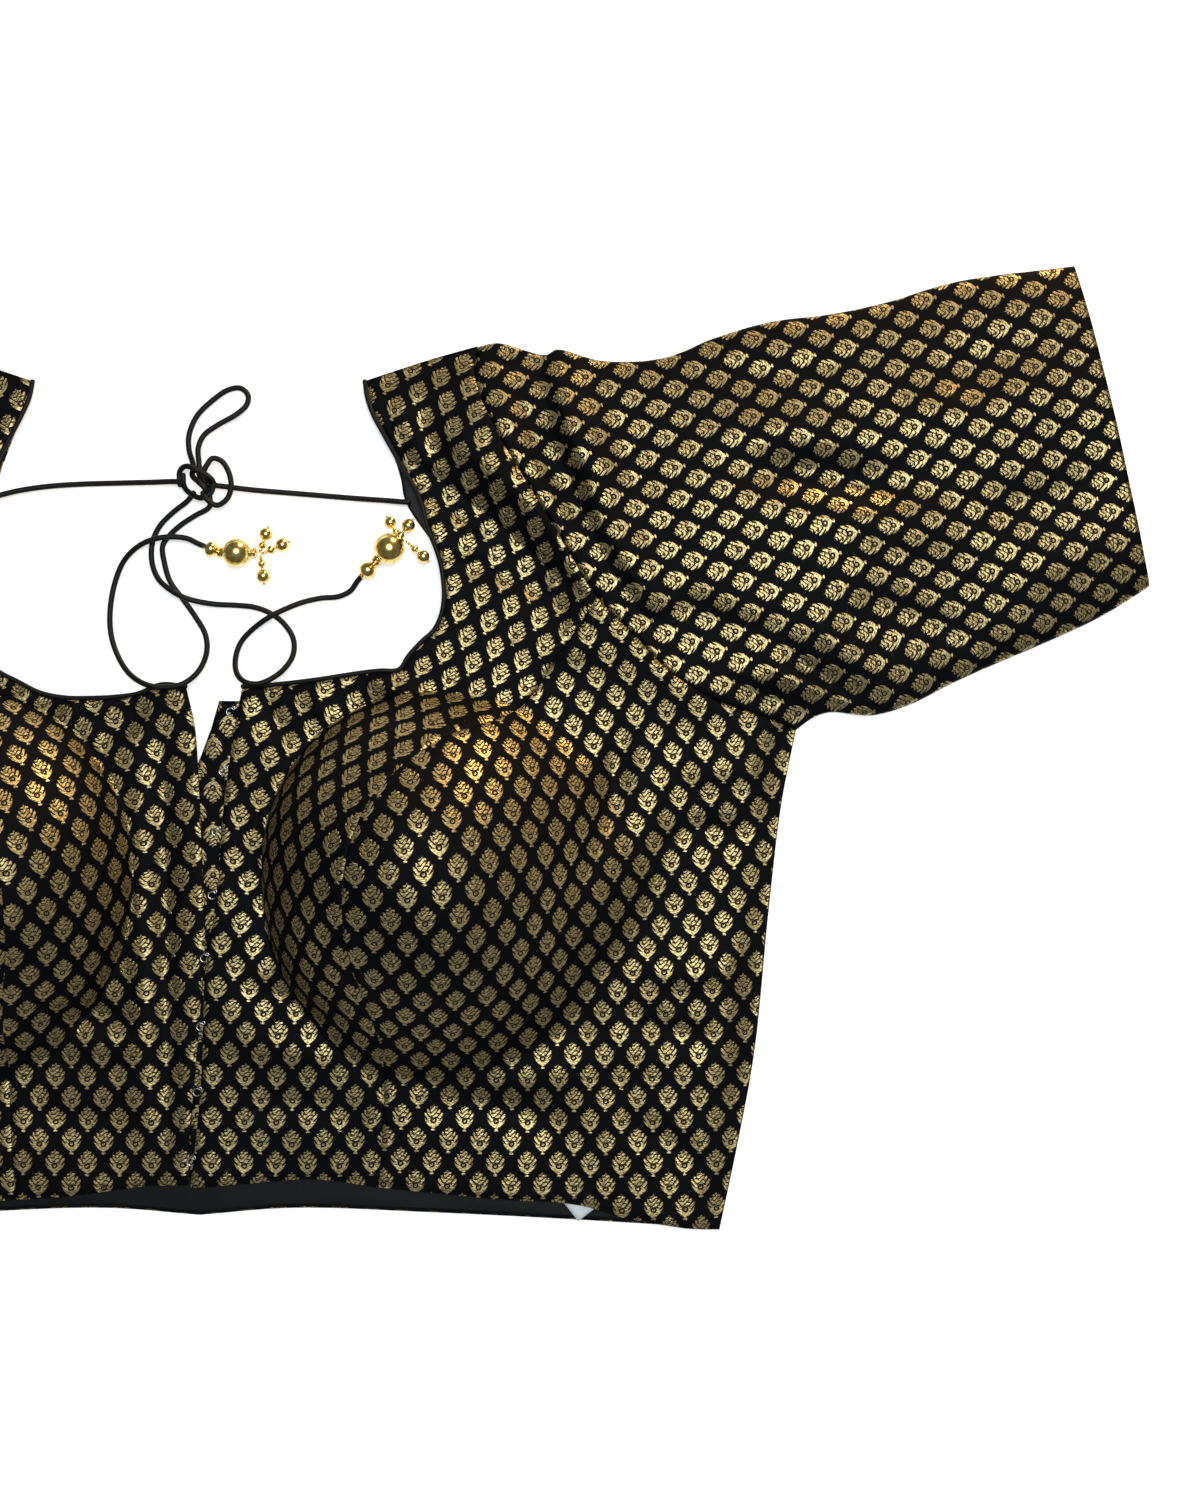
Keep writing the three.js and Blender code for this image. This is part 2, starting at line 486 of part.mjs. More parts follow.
// z is the middle of the cord: on the table, in a long low hump over what it crosses.
const CORDS = {
  dori_left: {
    steps: 3,
    route: [
      [86, 100, 4.0], [75, 101, 2.9], [64, 101.9, 1.8], [50, 103.1, 1.4], [35, 104.3, 1.6],
      [22, 105.3, 2.4], [8, 106.8, 3.9],
    ],
  },
  dori_right: {
    steps: 3,
    route: [
      [-86, 101.5, 4.0], [-74, 104.8, 2.9], [-62, 106.8, 1.8], [-48, 107.8, 1.4], [-33, 108.2, 1.6],
      [-20, 108.4, 2.4], [-8, 108.4, 3.9],
    ],
  },
  dori_bow: {
    steps: 12,
    route: [
      [-2.4, 116.2, 2.6], [-4.2, 122, 1.4], [-4.2, 128, 1.3], [-1, 135.6, 1.4], [5.6, 142.2, 1.4],
      [12, 146.4, 1.5], [17, 147, 1.6], [20, 144.2, 1.8], [19.6, 140.2, 2.2], [15.6, 136.2, 2.8],
      [8, 131.6, 3.6], [2.4, 127.2, 4.2], [0.2, 122, 4.4], [0.6, 116.2, 4.9],
    ],
  },
  dori_ring: {
    steps: 8,
    route: [
      [4.2, 114.8, 6.6], [6.4, 117.6, 6], [10, 116.6, 5.6], [13, 111.8, 5.6], [13.9, 105.6, 5.9],
      [12, 101, 5.6], [8, 98.6, 5.6], [3.9, 101.2, 6.4],
    ],
  },
  dori_tail_left: {
    steps: 30,
    route: [
      [4.4, 98.6, 1.8], [-1.6, 95, 1.3], [-7.4, 91.2, 1.3], [-12.2, 86.8, 1.3], [-15, 82.6, 1.3],
      [-14.3, 75.6, 1.3], [-11.9, 67.9, 1.3], [-7, 61.1, 1.3], [-2, 54.1, 1.3], [2.5, 46.3, 1.5],
      [3.3, 38.8, 2.8], [0.6, 31, 5.9], [-4.9, 26, 8.1], [-11.9, 24.4, 8.4], [-19.7, 25.4, 8],
      [-27.5, 29.9, 5], [-33.2, 37.7, 2.2], [-36.1, 46.3, 1.4], [-36.5, 56.2, 1.3],
      [-34.4, 67.9, 1.4], [-30.3, 76.7, 2.4], [-23.4, 82.6, 4.3], [-16.6, 85.2, 4.8],
      [-9.8, 85.9, 4.4], [-4.1, 85.2, 3.6], [-0.4, 83.4, 3.5],
    ],
  },
  dori_tail_right: {
    steps: 33,
    route: [
      [-4.6, 101, 1.8], [-10.6, 96.4, 1.3], [-15.8, 91.2, 1.3], [-18.6, 86, 1.3], [-19.6, 81, 1.3],
      [-19.2, 75, 1.4], [-16.6, 69, 2.2], [-11.4, 64.4, 3.9], [-5.6, 61.2, 4.6], [1, 59.4, 3.2],
      [7, 58.6, 1.6], [15.6, 58.2, 1.3], [22.6, 57.4, 1.3], [29.1, 55, 1.3], [34.9, 50.4, 1.3],
      [38.5, 44.4, 1.4], [38.6, 38, 2.4], [35.4, 32, 5.4], [30.4, 27.8, 8], [25.2, 25.8, 8.4],
      [20, 26.6, 8], [16.2, 30.2, 5.6], [15.2, 36.2, 3.4], [17, 42.6, 2.4], [22.1, 48.2, 3.3],
      [30, 53.6, 4.7], [36, 56.6, 4.3], [42, 59.2, 2.6], [49.6, 61.1, 1.5], [57, 61.8, 1.4],
      [62, 64.2, 1.6], [64.4, 67.4, 2.2],
    ],
  },
};

const routeOf = (cord) => cord.route.map(([x, y, z]) => new THREE.Vector3(x, y, z));

// ---------------------------------------------------------------- bead tassels
const BEAD_SIDES = 8;

// A turned bead along its own +Y from zero, from rows of radius and place along its length.
function turned(rows, length) {
  const profile = rows.map(([radius, place]) => new THREE.Vector2(radius, place * length));
  return new THREE.LatheGeometry([new THREE.Vector2(0, 0), ...profile, new THREE.Vector2(0, length)], BEAD_SIDES);
}

const BEAD_PROFILES = {
  ball: [[0.38, 0], [0.8, 0.12], [1, 0.34], [1, 0.66], [0.8, 0.88], [0.38, 1]],
  spacer: [[0.7, 0], [1, 0.2], [1, 0.8], [0.7, 1]],
  dangle: [[0.3, 0], [0.62, 0.12], [0.62, 0.3], [0.3, 0.42], [0.3, 0.52], [1, 0.66], [1, 0.86], [0.3, 1]],
};
// Each bead runs from one point to another; z is the height of both ends.
const BEADS = [
  { name: 'latkan_left_small_ball', kind: 'ball', from: [2.6, 82.1], to: [8, 79.9], z: 3.6, radius: 3.3 },
  { name: 'latkan_left_spacer', kind: 'spacer', from: [8.35, 79.8], to: [9.75, 79.5], z: 3.8, radius: 2.4 },
  { name: 'latkan_left_big_ball', kind: 'ball', from: [10.1, 79.3], to: [22, 79.3], z: 6, radius: 5.8 },
  { name: 'latkan_left_cap', kind: 'spacer', from: [22.4, 79.3], to: [24.4, 79.3], z: 5.4, radius: 2.2 },
  { name: 'latkan_left_dangle_1', kind: 'dangle', from: [25.6, 81.6], to: [28.6, 90.6], z: 2.6, radius: 2.3 },
  { name: 'latkan_left_dangle_2', kind: 'dangle', from: [27.6, 79.9], to: [37.6, 84.4], z: 2.6, radius: 2.4 },
  { name: 'latkan_left_dangle_3', kind: 'dangle', from: [25.6, 76.8], to: [26.9, 66.4], z: 2.6, radius: 2.4 },
  { name: 'latkan_right_small_ball', kind: 'ball', from: [66.6, 69.9], to: [71.8, 74.9], z: 3.8, radius: 3.6 },
  { name: 'latkan_right_spacer', kind: 'spacer', from: [72.1, 75.2], to: [73.2, 76.2], z: 4.2, radius: 2.6 },
  { name: 'latkan_right_big_ball', kind: 'ball', from: [73.5, 76.5], to: [82.9, 85.3], z: 6.5, radius: 6.3 },
  { name: 'latkan_right_dangle_1', kind: 'dangle', from: [80.6, 88.2], to: [76.6, 95], z: 2.6, radius: 2.1 },
  { name: 'latkan_right_dangle_2', kind: 'dangle', from: [83.6, 87.4], to: [88.2, 93.2], z: 5.4, radius: 2.3 },
  { name: 'latkan_right_dangle_3', kind: 'dangle', from: [86.4, 82.8], to: [94.6, 75.4], z: 5.4, radius: 2.2 },
];

function bead({ name, kind, from, to, z, radius }) {
  const start = new THREE.Vector3(from[0], from[1], z);
  const line = new THREE.Vector3(to[0], to[1], z).sub(start);
  const rows = BEAD_PROFILES[kind].map(([share, place]) => [share * radius, place]);
  const mesh = add(name, facingOut(turned(rows, line.length())), goldBrass);
  mesh.position.copy(start);
  mesh.quaternion.setFromUnitVectors(new THREE.Vector3(0, 1, 0), line.normalize());
}

// ---------------------------------------------------------------- assembly
for (const [side, edges] of Object.entries(FRONTS)) {
  const placed = side === 'right' ? mirrored : (geometry) => geometry;
  add(`front_centre_${side}`, placed(frontCentre(edges)), brocade);
  add(`front_side_${side}`, placed(frontSide(edges)), brocade);
  add(`sleeve_${side}`, placed(sleeveSolid()), brocade);
  add(`neck_piping_${side}`, placed(neckPiping(edges)), plainSatin);
  add(`strap_facing_${side}`, placed(strapFacing()), plainSatin);
}
add('back', slab(inset(backOutline(), GAP / 2), 0, CLOTH), brocade);
add('hem_facing', hemFacing(), plainSatin);
add('placket_strip', placketStrip(), brocade);
add('size_label', sizeLabel(), whiteTape);
HOOKS.forEach((row, index) => add(`hook_${index + 1}`, hook(row), hookSteel));
for (const [name, cord] of Object.entries(CORDS)) {
  add(name, roundTube(routeOf(cord), CORD_DIAMETER / 2, CORD_SIDES, cord.steps), cordSatin);
}
const knot = add('dori_knot', facingOut(new THREE.SphereGeometry(1, 10, 7)), cordSatin);
knot.scale.set(KNOT.width, KNOT.height, KNOT.depth);
knot.position.set(KNOT.x, KNOT.y, KNOT.z);
BEADS.forEach(bead);

export default blouse;
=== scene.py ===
"""Choli blouse laid flat, built as an add-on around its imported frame.

Lengths in the tables are millimetres in the frame's axes: +X the wearer's left, +Y towards
the neck, +Z up out of the front. Objects are in metres.
"""
import json
import math

import bmesh
import bpy
import numpy as np
from mathutils import Matrix, Vector

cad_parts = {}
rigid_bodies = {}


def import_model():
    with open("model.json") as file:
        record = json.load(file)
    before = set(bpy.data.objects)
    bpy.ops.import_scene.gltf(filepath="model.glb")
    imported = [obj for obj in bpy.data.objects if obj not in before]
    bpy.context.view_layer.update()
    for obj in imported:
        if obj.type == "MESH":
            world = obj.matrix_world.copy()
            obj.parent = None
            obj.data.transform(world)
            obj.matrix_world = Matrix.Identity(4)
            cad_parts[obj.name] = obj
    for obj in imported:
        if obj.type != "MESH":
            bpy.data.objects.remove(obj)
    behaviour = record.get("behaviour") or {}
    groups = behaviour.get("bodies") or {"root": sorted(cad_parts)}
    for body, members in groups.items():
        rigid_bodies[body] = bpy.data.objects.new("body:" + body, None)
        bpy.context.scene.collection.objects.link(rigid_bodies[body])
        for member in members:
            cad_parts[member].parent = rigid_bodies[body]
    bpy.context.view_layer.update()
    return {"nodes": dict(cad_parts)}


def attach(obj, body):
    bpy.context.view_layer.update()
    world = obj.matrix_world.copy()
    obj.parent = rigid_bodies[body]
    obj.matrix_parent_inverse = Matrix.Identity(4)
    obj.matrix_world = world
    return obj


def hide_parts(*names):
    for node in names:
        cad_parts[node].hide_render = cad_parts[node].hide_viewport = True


bl_info = {
    "name": "Choli Blouse",
    "version": (1, 0, 0),
    "blender": (4, 5, 0),
    "location": "View3D > Sidebar > Blouse",
    "description": "Builds a brocade choli blouse laid flat, with its cords and bead tassels",
    "category": "Add Mesh",
}

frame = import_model()
MM = 0.001

# ---------------------------------------------------------------- sizes that the frame fixes
CLOTH = 1.2  # wall of brocade with its lining
FACING = 1.0  # wall of facings, placket and label
GAP = 0.3  # between pieces that touch
SEAM_GAP = 0.05  # what is left of it where two panels are sewn together
FACING_UNDER = CLOTH + GAP
PLACKET_UNDER = FACING_UNDER + FACING + GAP
FRONT_EDGE = CLOTH + GAP  # underside of a front at the side seam and shoulder
FRONT_FLAT = PLACKET_UNDER + FACING + 0.4  # underside of a front elsewhere
EDGE_REACH = 16
CUP = {"x": 94, "y": -50, "height": 50, "medial": 67, "lateral": 88, "upper": 72, "lower": 88}
CUP_SHAPE = {"medial": 0.6, "lateral": 1.3, "upper": 0.75, "lower": 1.05}
CUP_FOOT = {"medial": 0.3, "lateral": 18, "upper": 5, "lower": 18}  # how softly its foot runs out

# ---------------------------------------------------------------- outlines of one side, (x, y)
ARMHOLE = [
    (114, 164), (112.8, 152), (119.7, 133), (133, 109), (147.6, 86), (163, 61),
    (179.6, 44), (191, 32), (209.5, 20), (232.5, 12), (244, 7),
]
SIDE_SEAM = [(212.8, -197), (220, -163), (227, -125), (233, -66), (238, -24), (244, 7)]
SHOULDER = [(68.5, 150), (94.6, 158.5), (114, 164)]
PRINCESS_SEAM = [
    (76, -145), (76, -121), (72, -101), (67, -80), (65.5, -56), (69, -36), (76, -20),
    (88, -7), (104, 4), (129, 14), (145, 34),
]
STRAP_EDGE = [
    (82.4, 31.2), (89, 40), (97.6, 48.5), (101, 60), (99, 78), (94.6, 89), (91, 102),
    (85, 113), (77, 127), (70.5, 140), (68.5, 150),
]
FRONTS = {
    "left": {
        "centre_edge": [
            (-2.6, -179.2), (1.4, -140), (2.6, -113), (3.8, -86), (8.2, -60), (9.8, -34),
            (12.6, -10), (18.2, 24.2),
        ],
        "neckline": [(18.2, 24.2), (28, 24.7), (46.7, 26.7), (70, 30.2), (82.4, 31.2)],
        "hem": [(-2.6, -179.2), (20, -177.6), (49, -175.8), (74, -179)],
        "side_hem": [
            (74, -179), (118, -183.3), (156, -186.3), (173, -191), (197, -195.4), (212.8, -197),
        ],
    },
    "right": {
        "centre_edge": [
            (4, -178), (2, -144), (0, -120), (-2.9, -79), (-2, -50), (0, -7), (1.4, 10),
            (4.6, 24.2),
        ],
        "neckline": [(4.6, 24.2), (15, 25), (23, 21.6), (43, 19.5), (62, 21), (82.4, 31.2)],
        "hem": [(4, -178), (22, -178.8), (50, -182.4), (74, -184)],
        "side_hem": [(74, -184), (118, -187), (173, -192.5), (212.8, -197)],
    },
}
SLEEVE_TOP = [
    (114, 164), (122, 165.6), (142, 160.7), (146, 163), (165, 158.3), (190, 159.5),
    (211, 167.7), (233.5, 174.2), (259, 177.5), (281, 182.2), (309.5, 190.6), (357.5, 197),
]
SLEEVE_UNDER = [
    (244, 7), (251, 12), (258, 14.4), (274.7, 13.1), (289, 16.8), (311.6, 27.9),
    (367, 52.5), (388.5, 65.6),
]
CUFF = [(357.5, 197), (366, 160.5), (375.4, 120), (384.6, 80.5), (388.5, 65.6)]
BACK_HEM = [(0, -191.5), (38, -188.6), (94, -190.4), (156, -193.5), (212.8, -197)]
BACK_NECK = [
    (68.5, 150), (76, 128), (82, 111.5), (84, 101), (90, 91), (96.5, 82), (104, 62),
    (106, 30), (98, 5), (78, -20), (45, -36), (0, -41),
]
# Each row crosses the placket strip: height up the front, then its two edges.
PLACKET = [
    (-176, -11, 4), (-120, -8, 9), (-60, -8, 13), (-20, -6, 15.5), (-5, 0.6, 17.5),
    (8, 5.5, 19.5), (19, 8.6, 21),
]
HEM_FACING_DEPTH = 24
STRAP_FACING_WIDTH = 11

# The largest folds, as in the frame: x1, y1, x2, y2, reach to each side, rise.
FRONT_FOLDS = [(122, 128, 205, 30, 20, 4.0), (92, 128, 138, 78, 9, -1.2), (160, -10, 176, -120, 16, 2.5)]
SLEEVE_FOLDS = [(144, 160, 157, 109, 7, -1.6), (157, 109, 182, 52, 7, -1.6), (250, 116, 330, 100, 14, -1.6)]
SLEEVE_FULLNESS = {"v": (0.3, 1.0), "rise": (9.0, 8.2)}

# Mesh density: rows and columns of each stretch of cloth.
FINE = 8
CENTRE_ROWS = {"centre_edge": 10, "neckline": 4, "strap": 9, "princess": 16, "armhole": 7}
PRINCESS_TOP = 7
ARMHOLE_STEPS = 13
PANEL_COLUMNS = 72
SLEEVE_COLUMNS = 96


# ---------------------------------------------------------------- curves and heights
def smooth(share):
    share = np.clip(share, 0, 1)
    return share * share * (3 - 2 * share)


def spaced(table, places):
    """Points of the centripetal curve through a table: so many even steps, or at given shares."""
    rows = np.array(table, float)
    ends = np.vstack([2 * rows[0] - rows[1], rows, 2 * rows[-1] - rows[-2]])
    dense = [rows[:1]]
    for before, start, stop, after in zip(ends, ends[1:], ends[2:], ends[3:]):
        legs = (start - before, stop - start, after - stop)
        first, middle, last = (max(np.linalg.norm(leg) ** 0.5, 1e-4) for leg in legs)
        slope = legs[1] / middle
        lead = (legs[0] / first - (stop - before) / (first + middle) + slope) * middle
        leave = (slope - (after - start) / (middle + last) + legs[2] / last) * middle
        t = np.linspace(0, 1, 25)[1:, None]
        dense.append(
            start + lead * t + (3 * (stop - start) - 2 * lead - leave) * t**2
            + (2 * (start - stop) + lead + leave) * t**3
        )
    line = np.vstack(dense)
    along = np.concatenate([[0], np.cumsum(np.linalg.norm(np.diff(line, axis=0), axis=1))])
    shares = np.linspace(0, 1, places + 1) if isinstance(places, int) else np.asarray(places)
    places = shares * along[-1]
    return np.stack([np.interp(places, along, line[:, k]) for k in range(line.shape[1])], axis=1)


def joined(*runs):
    return np.vstack([runs[0]] + [run[1:] for run in runs[1:]])


def inset(loop, distance):
    """An anticlockwise outline moved inwards, with mitred corners."""
    ahead = np.roll(loop, -1, axis=0) - loop
    side = np.stack([-ahead[:, 1], ahead[:, 0]], axis=1)
    side /= np.maximum(np.linalg.norm(side, axis=1, keepdims=True), 1e-9)
    mitre = side + np.roll(side, 1, axis=0)
    mitre /= np.maximum(np.linalg.norm(mitre, axis=1, keepdims=True), 1e-9)
    reach = distance / np.maximum(0.5, (mitre * side).sum(axis=1, keepdims=True))
    return loop + mitre * reach


def respaced(line, shares):
    """The same line with its points at other shares of its length."""
    along = np.concatenate([[0], np.cumsum(np.linalg.norm(np.diff(line, axis=0), axis=1))])
    return np.column_stack([np.interp(shares * along[-1], along, line[:, k]) for k in range(2)])


def coons(bottom, right, top, left, shares, up_shares=None):
    """Rows of plan points that fill four edges, less half a seam gap all round.

    Rows with shares of their own, as a sleeve's have, leave the points of bottom and top as spaced.
    """
    columns, rows = len(bottom) - 1, len(left) - 1
    loop = inset(np.vstack([bottom[:-1], right[:-1], top[:0:-1], left[:0:-1]]), SEAM_GAP / 2)
    ring = np.vstack([loop, loop[:1]])
    bottom, right = ring[: columns + 1], ring[columns : columns + rows + 1]
    top = ring[columns + rows : 2 * columns + rows + 1][::-1]
    left = ring[2 * columns + rows :][::-1]
    if up_shares is None:
        bottom, top = respaced(bottom, shares), respaced(top, shares)
        up_shares = np.linspace(0, 1, rows + 1)
    u, v = shares[None, :, None], up_shares[:, None, None]
    flat = (1 - v) * ((1 - u) * bottom[0] + u * bottom[-1]) + v * ((1 - u) * top[0] + u * top[-1])
    return (1 - u) * left[:, None] + u * right[:, None] + (1 - v) * bottom[None] + v * top[None] - flat


def distance_to(line, x, y):
    """Distance to a line of points, less than 0 on its right, and how far along it, 0 to 1."""
    line = np.array(line, float)
    nearest = np.full(np.shape(x), np.inf)
    along, side = np.zeros(np.shape(x)), np.ones(np.shape(x))
    lengths = np.linalg.norm(np.diff(line, axis=0), axis=1)
    before = 0.0
    for (x1, y1), (x2, y2), length in zip(line, line[1:], lengths):
        share = np.clip(((x - x1) * (x2 - x1) + (y - y1) * (y2 - y1)) / length**2, 0, 1)
        gap = np.hypot(x - x1 - share * (x2 - x1), y - y1 - share * (y2 - y1))
        closer = gap < nearest
        nearest = np.where(closer, gap, nearest)
        along = np.where(closer, (before + share * length) / lengths.sum(), along)
        left = np.where((x2 - x1) * (y - y1) > (y2 - y1) * (x - x1), 1, -1)
        side = np.where(closer, left, side)
        before += length
    return nearest * side, along


def fold_rise(folds, x, y):
    rise = np.zeros(np.shape(x))
    for x1, y1, x2, y2, reach, height in folds:
        gap, _ = distance_to([(x1, y1), (x2, y2)], x, y)
        rise += height * np.exp(-((gap / reach) ** 2))
    return rise


def crease_rise(creases, x, y):
    """Soft creases that fade at both ends: see the tables of creases."""
    rise = np.zeros(np.shape(x))
    for x1, y1, xm, ym, x2, y2, left, right, height in creases:
        t = np.linspace(0, 1, 9)[:, None]
        bend = 2 * np.array([xm, ym]) - (np.array([x1, y1]) + np.array([x2, y2])) / 2
        line = (1 - t) ** 2 * np.array([x1, y1]) + 2 * t * (1 - t) * bend + t**2 * np.array([x2, y2])
        gap, along = distance_to(line, x, y)
        fade = np.clip(np.sin(np.pi * along), 0, 1) ** 0.7
        rise += height * fade * np.exp(-((gap / np.where(gap > 0, left, right)) ** 2))
    return rise


def cup_rise(x, y):
    across = (x - CUP["x"]) / np.where(x < CUP["x"], CUP["medial"], CUP["lateral"])
    up = (y - CUP["y"]) / np.where(y > CUP["y"], CUP["upper"], CUP["lower"])
    squared = np.clip(across**2 + up**2, 1e-6, 1)
    shape, foot = (
        (
            across**2 * np.where(x < CUP["x"], table["medial"], table["lateral"])
            + up**2 * np.where(y > CUP["y"], table["upper"], table["lower"])
        ) / np.maximum(across**2 + up**2, 1e-6)
        for table in (CUP_SHAPE, CUP_FOOT)
    )
    rise = CUP["height"] * (1 - squared) ** shape
    return rise**2 / (rise + foot + 1e-9) * (CUP["height"] + foot) / CUP["height"]


def settle(x, y):
    """The slight unevenness of cloth laid down by hand."""
    broad = np.sin(x / 15 + 0.6 * np.sin(y / 21)) * np.sin(y / 17 + 0.8 * np.sin(x / 25) + 1.1)
    fine = np.sin((x + 0.7 * y) / 8.5) * np.sin((y - 0.4 * x) / 12 + 0.5)
    return 0.75 * broad + 0.25 * fine


def front_height(x, y, creases=()):
    """Height of a front's underside over the table, for the wearer's left."""
    edge = np.minimum(np.abs(distance_to(SIDE_SEAM, x, y)[0]), np.abs(distance_to(SHOULDER, x, y)[0]))
    edge = smooth(edge / EDGE_REACH)
    rise = FRONT_FLAT - FRONT_EDGE + fold_rise(FRONT_FOLDS, x, y) + crease_rise(creases, x, y)
    rise = rise + settle(x, y)
    return FRONT_EDGE + edge * rise + cup_rise(x, y)


# ---------------------------------------------------------------- meshes
def new_object(name, mesh, node_names, material, body="root"):
    piece = bpy.data.objects.new(name, mesh)
    bpy.context.scene.collection.objects.link(piece)
    mesh.materials.clear()
    mesh.materials.append(material)
    for polygon in mesh.polygons:
        polygon.use_smooth = True
    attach(piece, body)
    if node_names:
        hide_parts(*node_names)
    return piece


def grid_mesh(name, points, side="left", cloth_map=None, merge=False):
    """A grid of quads moved to rows of points in millimetres; x is mirrored for the right."""
    rows, columns = points.shape[0] - 1, points.shape[1] - 1
    sign = 1 if side == "left" else -1
    bm = bmesh.new()
    bmesh.ops.create_grid(bm, x_segments=columns, y_segments=rows, size=0.5)
    places = bm.verts.layers.int.new("place")
    flat_map = None if cloth_map is None else cloth_map.reshape(-1, 2)
    for vert in bm.verts:
        i, j = round((vert.co.x + 0.5) * columns), round((vert.co.y + 0.5) * rows)
        vert[places] = j * (columns + 1) + i
        x, y, z = points[j, i]
        vert.co = (sign * x * MM, y * MM, z * MM)
    uv = bm.loops.layers.uv.new("cloth")
    for face in bm.faces:
        for loop in face.loops:
            loop[uv].uv = (0, 0) if flat_map is None else flat_map[loop.vert[places]]
    if merge:
        bmesh.ops.remove_doubles(bm, verts=bm.verts, dist=1e-6)
    if side == "right":
        bmesh.ops.reverse_faces(bm, faces=bm.faces)
    mesh = bpy.data.meshes.new(name)
    bm.to_mesh(mesh)
    bm.free()
    return mesh


# Each level of flattening: every how many points, its rounds, and the rounds that unfold.
FLATTENING = [(8, 1500, 900), (4, 500, 200), (2, 200, 30), (1, 80, 0)]
UNFOLD_EVERY = 5
EASE = 0.3  # share of each spring's pull that a round takes up


def between_points(flat, shape):
    """A grid of points made finer, with the new points halfway between the old."""
    for axis, count in enumerate(shape):
        places = np.linspace(0, flat.shape[axis] - 1, count)
        low = np.minimum(places.astype(int), flat.shape[axis] - 2)
        part = (places - low)[:, None, None] if axis == 0 else (places - low)[None, :, None]
        flat = np.take(flat, low, axis) * (1 - part) + np.take(flat, low + 1, axis) * part
    return flat


def turned_over(flat):
    """Which cells of a flat grid lie face down."""
    across, up = flat[:-1, 1:] - flat[:-1, :-1], flat[1:, :-1] - flat[:-1, :-1]
    return across[..., 0] * up[..., 1] <= across[..., 1] * up[..., 0]


def unfolded(flat):
    """Flat points, with those round a cell that lies face down moved between their neighbours."""
    wrong = turned_over(flat)
    near = np.zeros(flat.shape[:2], bool)
    for corner in (near[:-1, :-1], near[1:, :-1], near[:-1, 1:], near[1:, 1:]):
        corner |= wrong
    near[[0, -1]] = False
    mean = flat.copy()
    mean[1:-1] = (flat[:-2] + flat[2:]) / 2
    mean[1:-1, 1:-1] = mean[1:-1, 1:-1] / 2 + (flat[1:-1, :-2] + flat[1:-1, 2:]) / 4
    return np.where(near[..., None], mean, flat)


def relaxed(flat, shaped, rounds, unfold):
    """Moves flat points until their distances are those of the shaped cloth."""
    whole = slice(None)
    ahead, behind = slice(1, None), slice(None, -1)
    ties = [
        ((whole, behind), (whole, ahead)), ((behind, whole), (ahead, whole)),
        ((behind, behind), (ahead, ahead)), ((behind, ahead), (ahead, behind)),
    ]
    lengths = [np.linalg.norm(shaped[b] - shaped[a], axis=2) for a, b in ties]
    for count in range(rounds):
        move = np.zeros_like(flat)
        for (a, b), length in zip(ties, lengths):
            line = flat[b] - flat[a]
            now = np.maximum(np.linalg.norm(line, axis=2), 1e-6)
            pull = line * (0.5 * (now - length) / now)[..., None]
            move[a] += pull
            move[b] -= pull
        flat = flat + EASE * move
        if count % UNFOLD_EVERY == 0 and count < unfold:
            flat = unfolded(flat)
    return flat


def flattened(points, steady):
    """The flat cut of a shaped panel: its own distances kept, its grain upright at steady."""
    coarsest = FLATTENING[0][0]
    flat = points[::coarsest, ::coarsest, :2]
    for step, rounds, unfold in FLATTENING:
        shaped = points[::step, ::step]
        flat = relaxed(between_points(flat, shaped.shape[:2]), shaped, rounds, unfold)
    keep = steady(points)
    middle, place = flat[keep].mean(axis=0), points[keep][:, :2].mean(axis=0)
    a, b = flat[keep] - middle, points[keep][:, :2] - place
    turn = math.atan2((a[:, 0] * b[:, 1] - a[:, 1] * b[:, 0]).sum(), (a * b).sum())
    spin = np.array([[math.cos(turn), math.sin(turn)], [-math.sin(turn), math.cos(turn)]])
    return (flat - middle) @ spin + place


def thicken(piece, thickness, offset):
    shell = piece.modifiers.new("Thickness", "SOLIDIFY")
    shell.thickness = thickness * MM
    shell.offset = offset
    shell.use_quality_normals = True
    return shell


# ---------------------------------------------------------------- materials
def linear(hex_colour):
    """Linear RGB of an sRGB hex value."""
    parts = [int(hex_colour[i : i + 2], 16) / 255 for i in (1, 3, 5)]
    return tuple(part / 12.92 if part <= 0.04045 else ((part + 0.055) / 1.055) ** 2.4 for part in parts)


def add_node(tree, kind, inputs=None, **settings):
    """Adds a node: an input that is a socket is linked, and anything else is set."""
    made = tree.nodes.new("ShaderNode" + kind)
    for name, value in settings.items():
        setattr(made, name, value)
    for name, value in (inputs or {}).items():
        if isinstance(value, bpy.types.NodeSocket):
            tree.links.new(value, made.inputs[name])
        else:
            made.inputs[name].default_value = value
    return made.outputs[0] if len(made.outputs) else made


def new_material(name):
    """A material with an empty tree, and its output node."""
    made = bpy.data.materials.new(name)
    made.use_nodes = True
    made.node_tree.nodes.clear()
    return made, made.node_tree


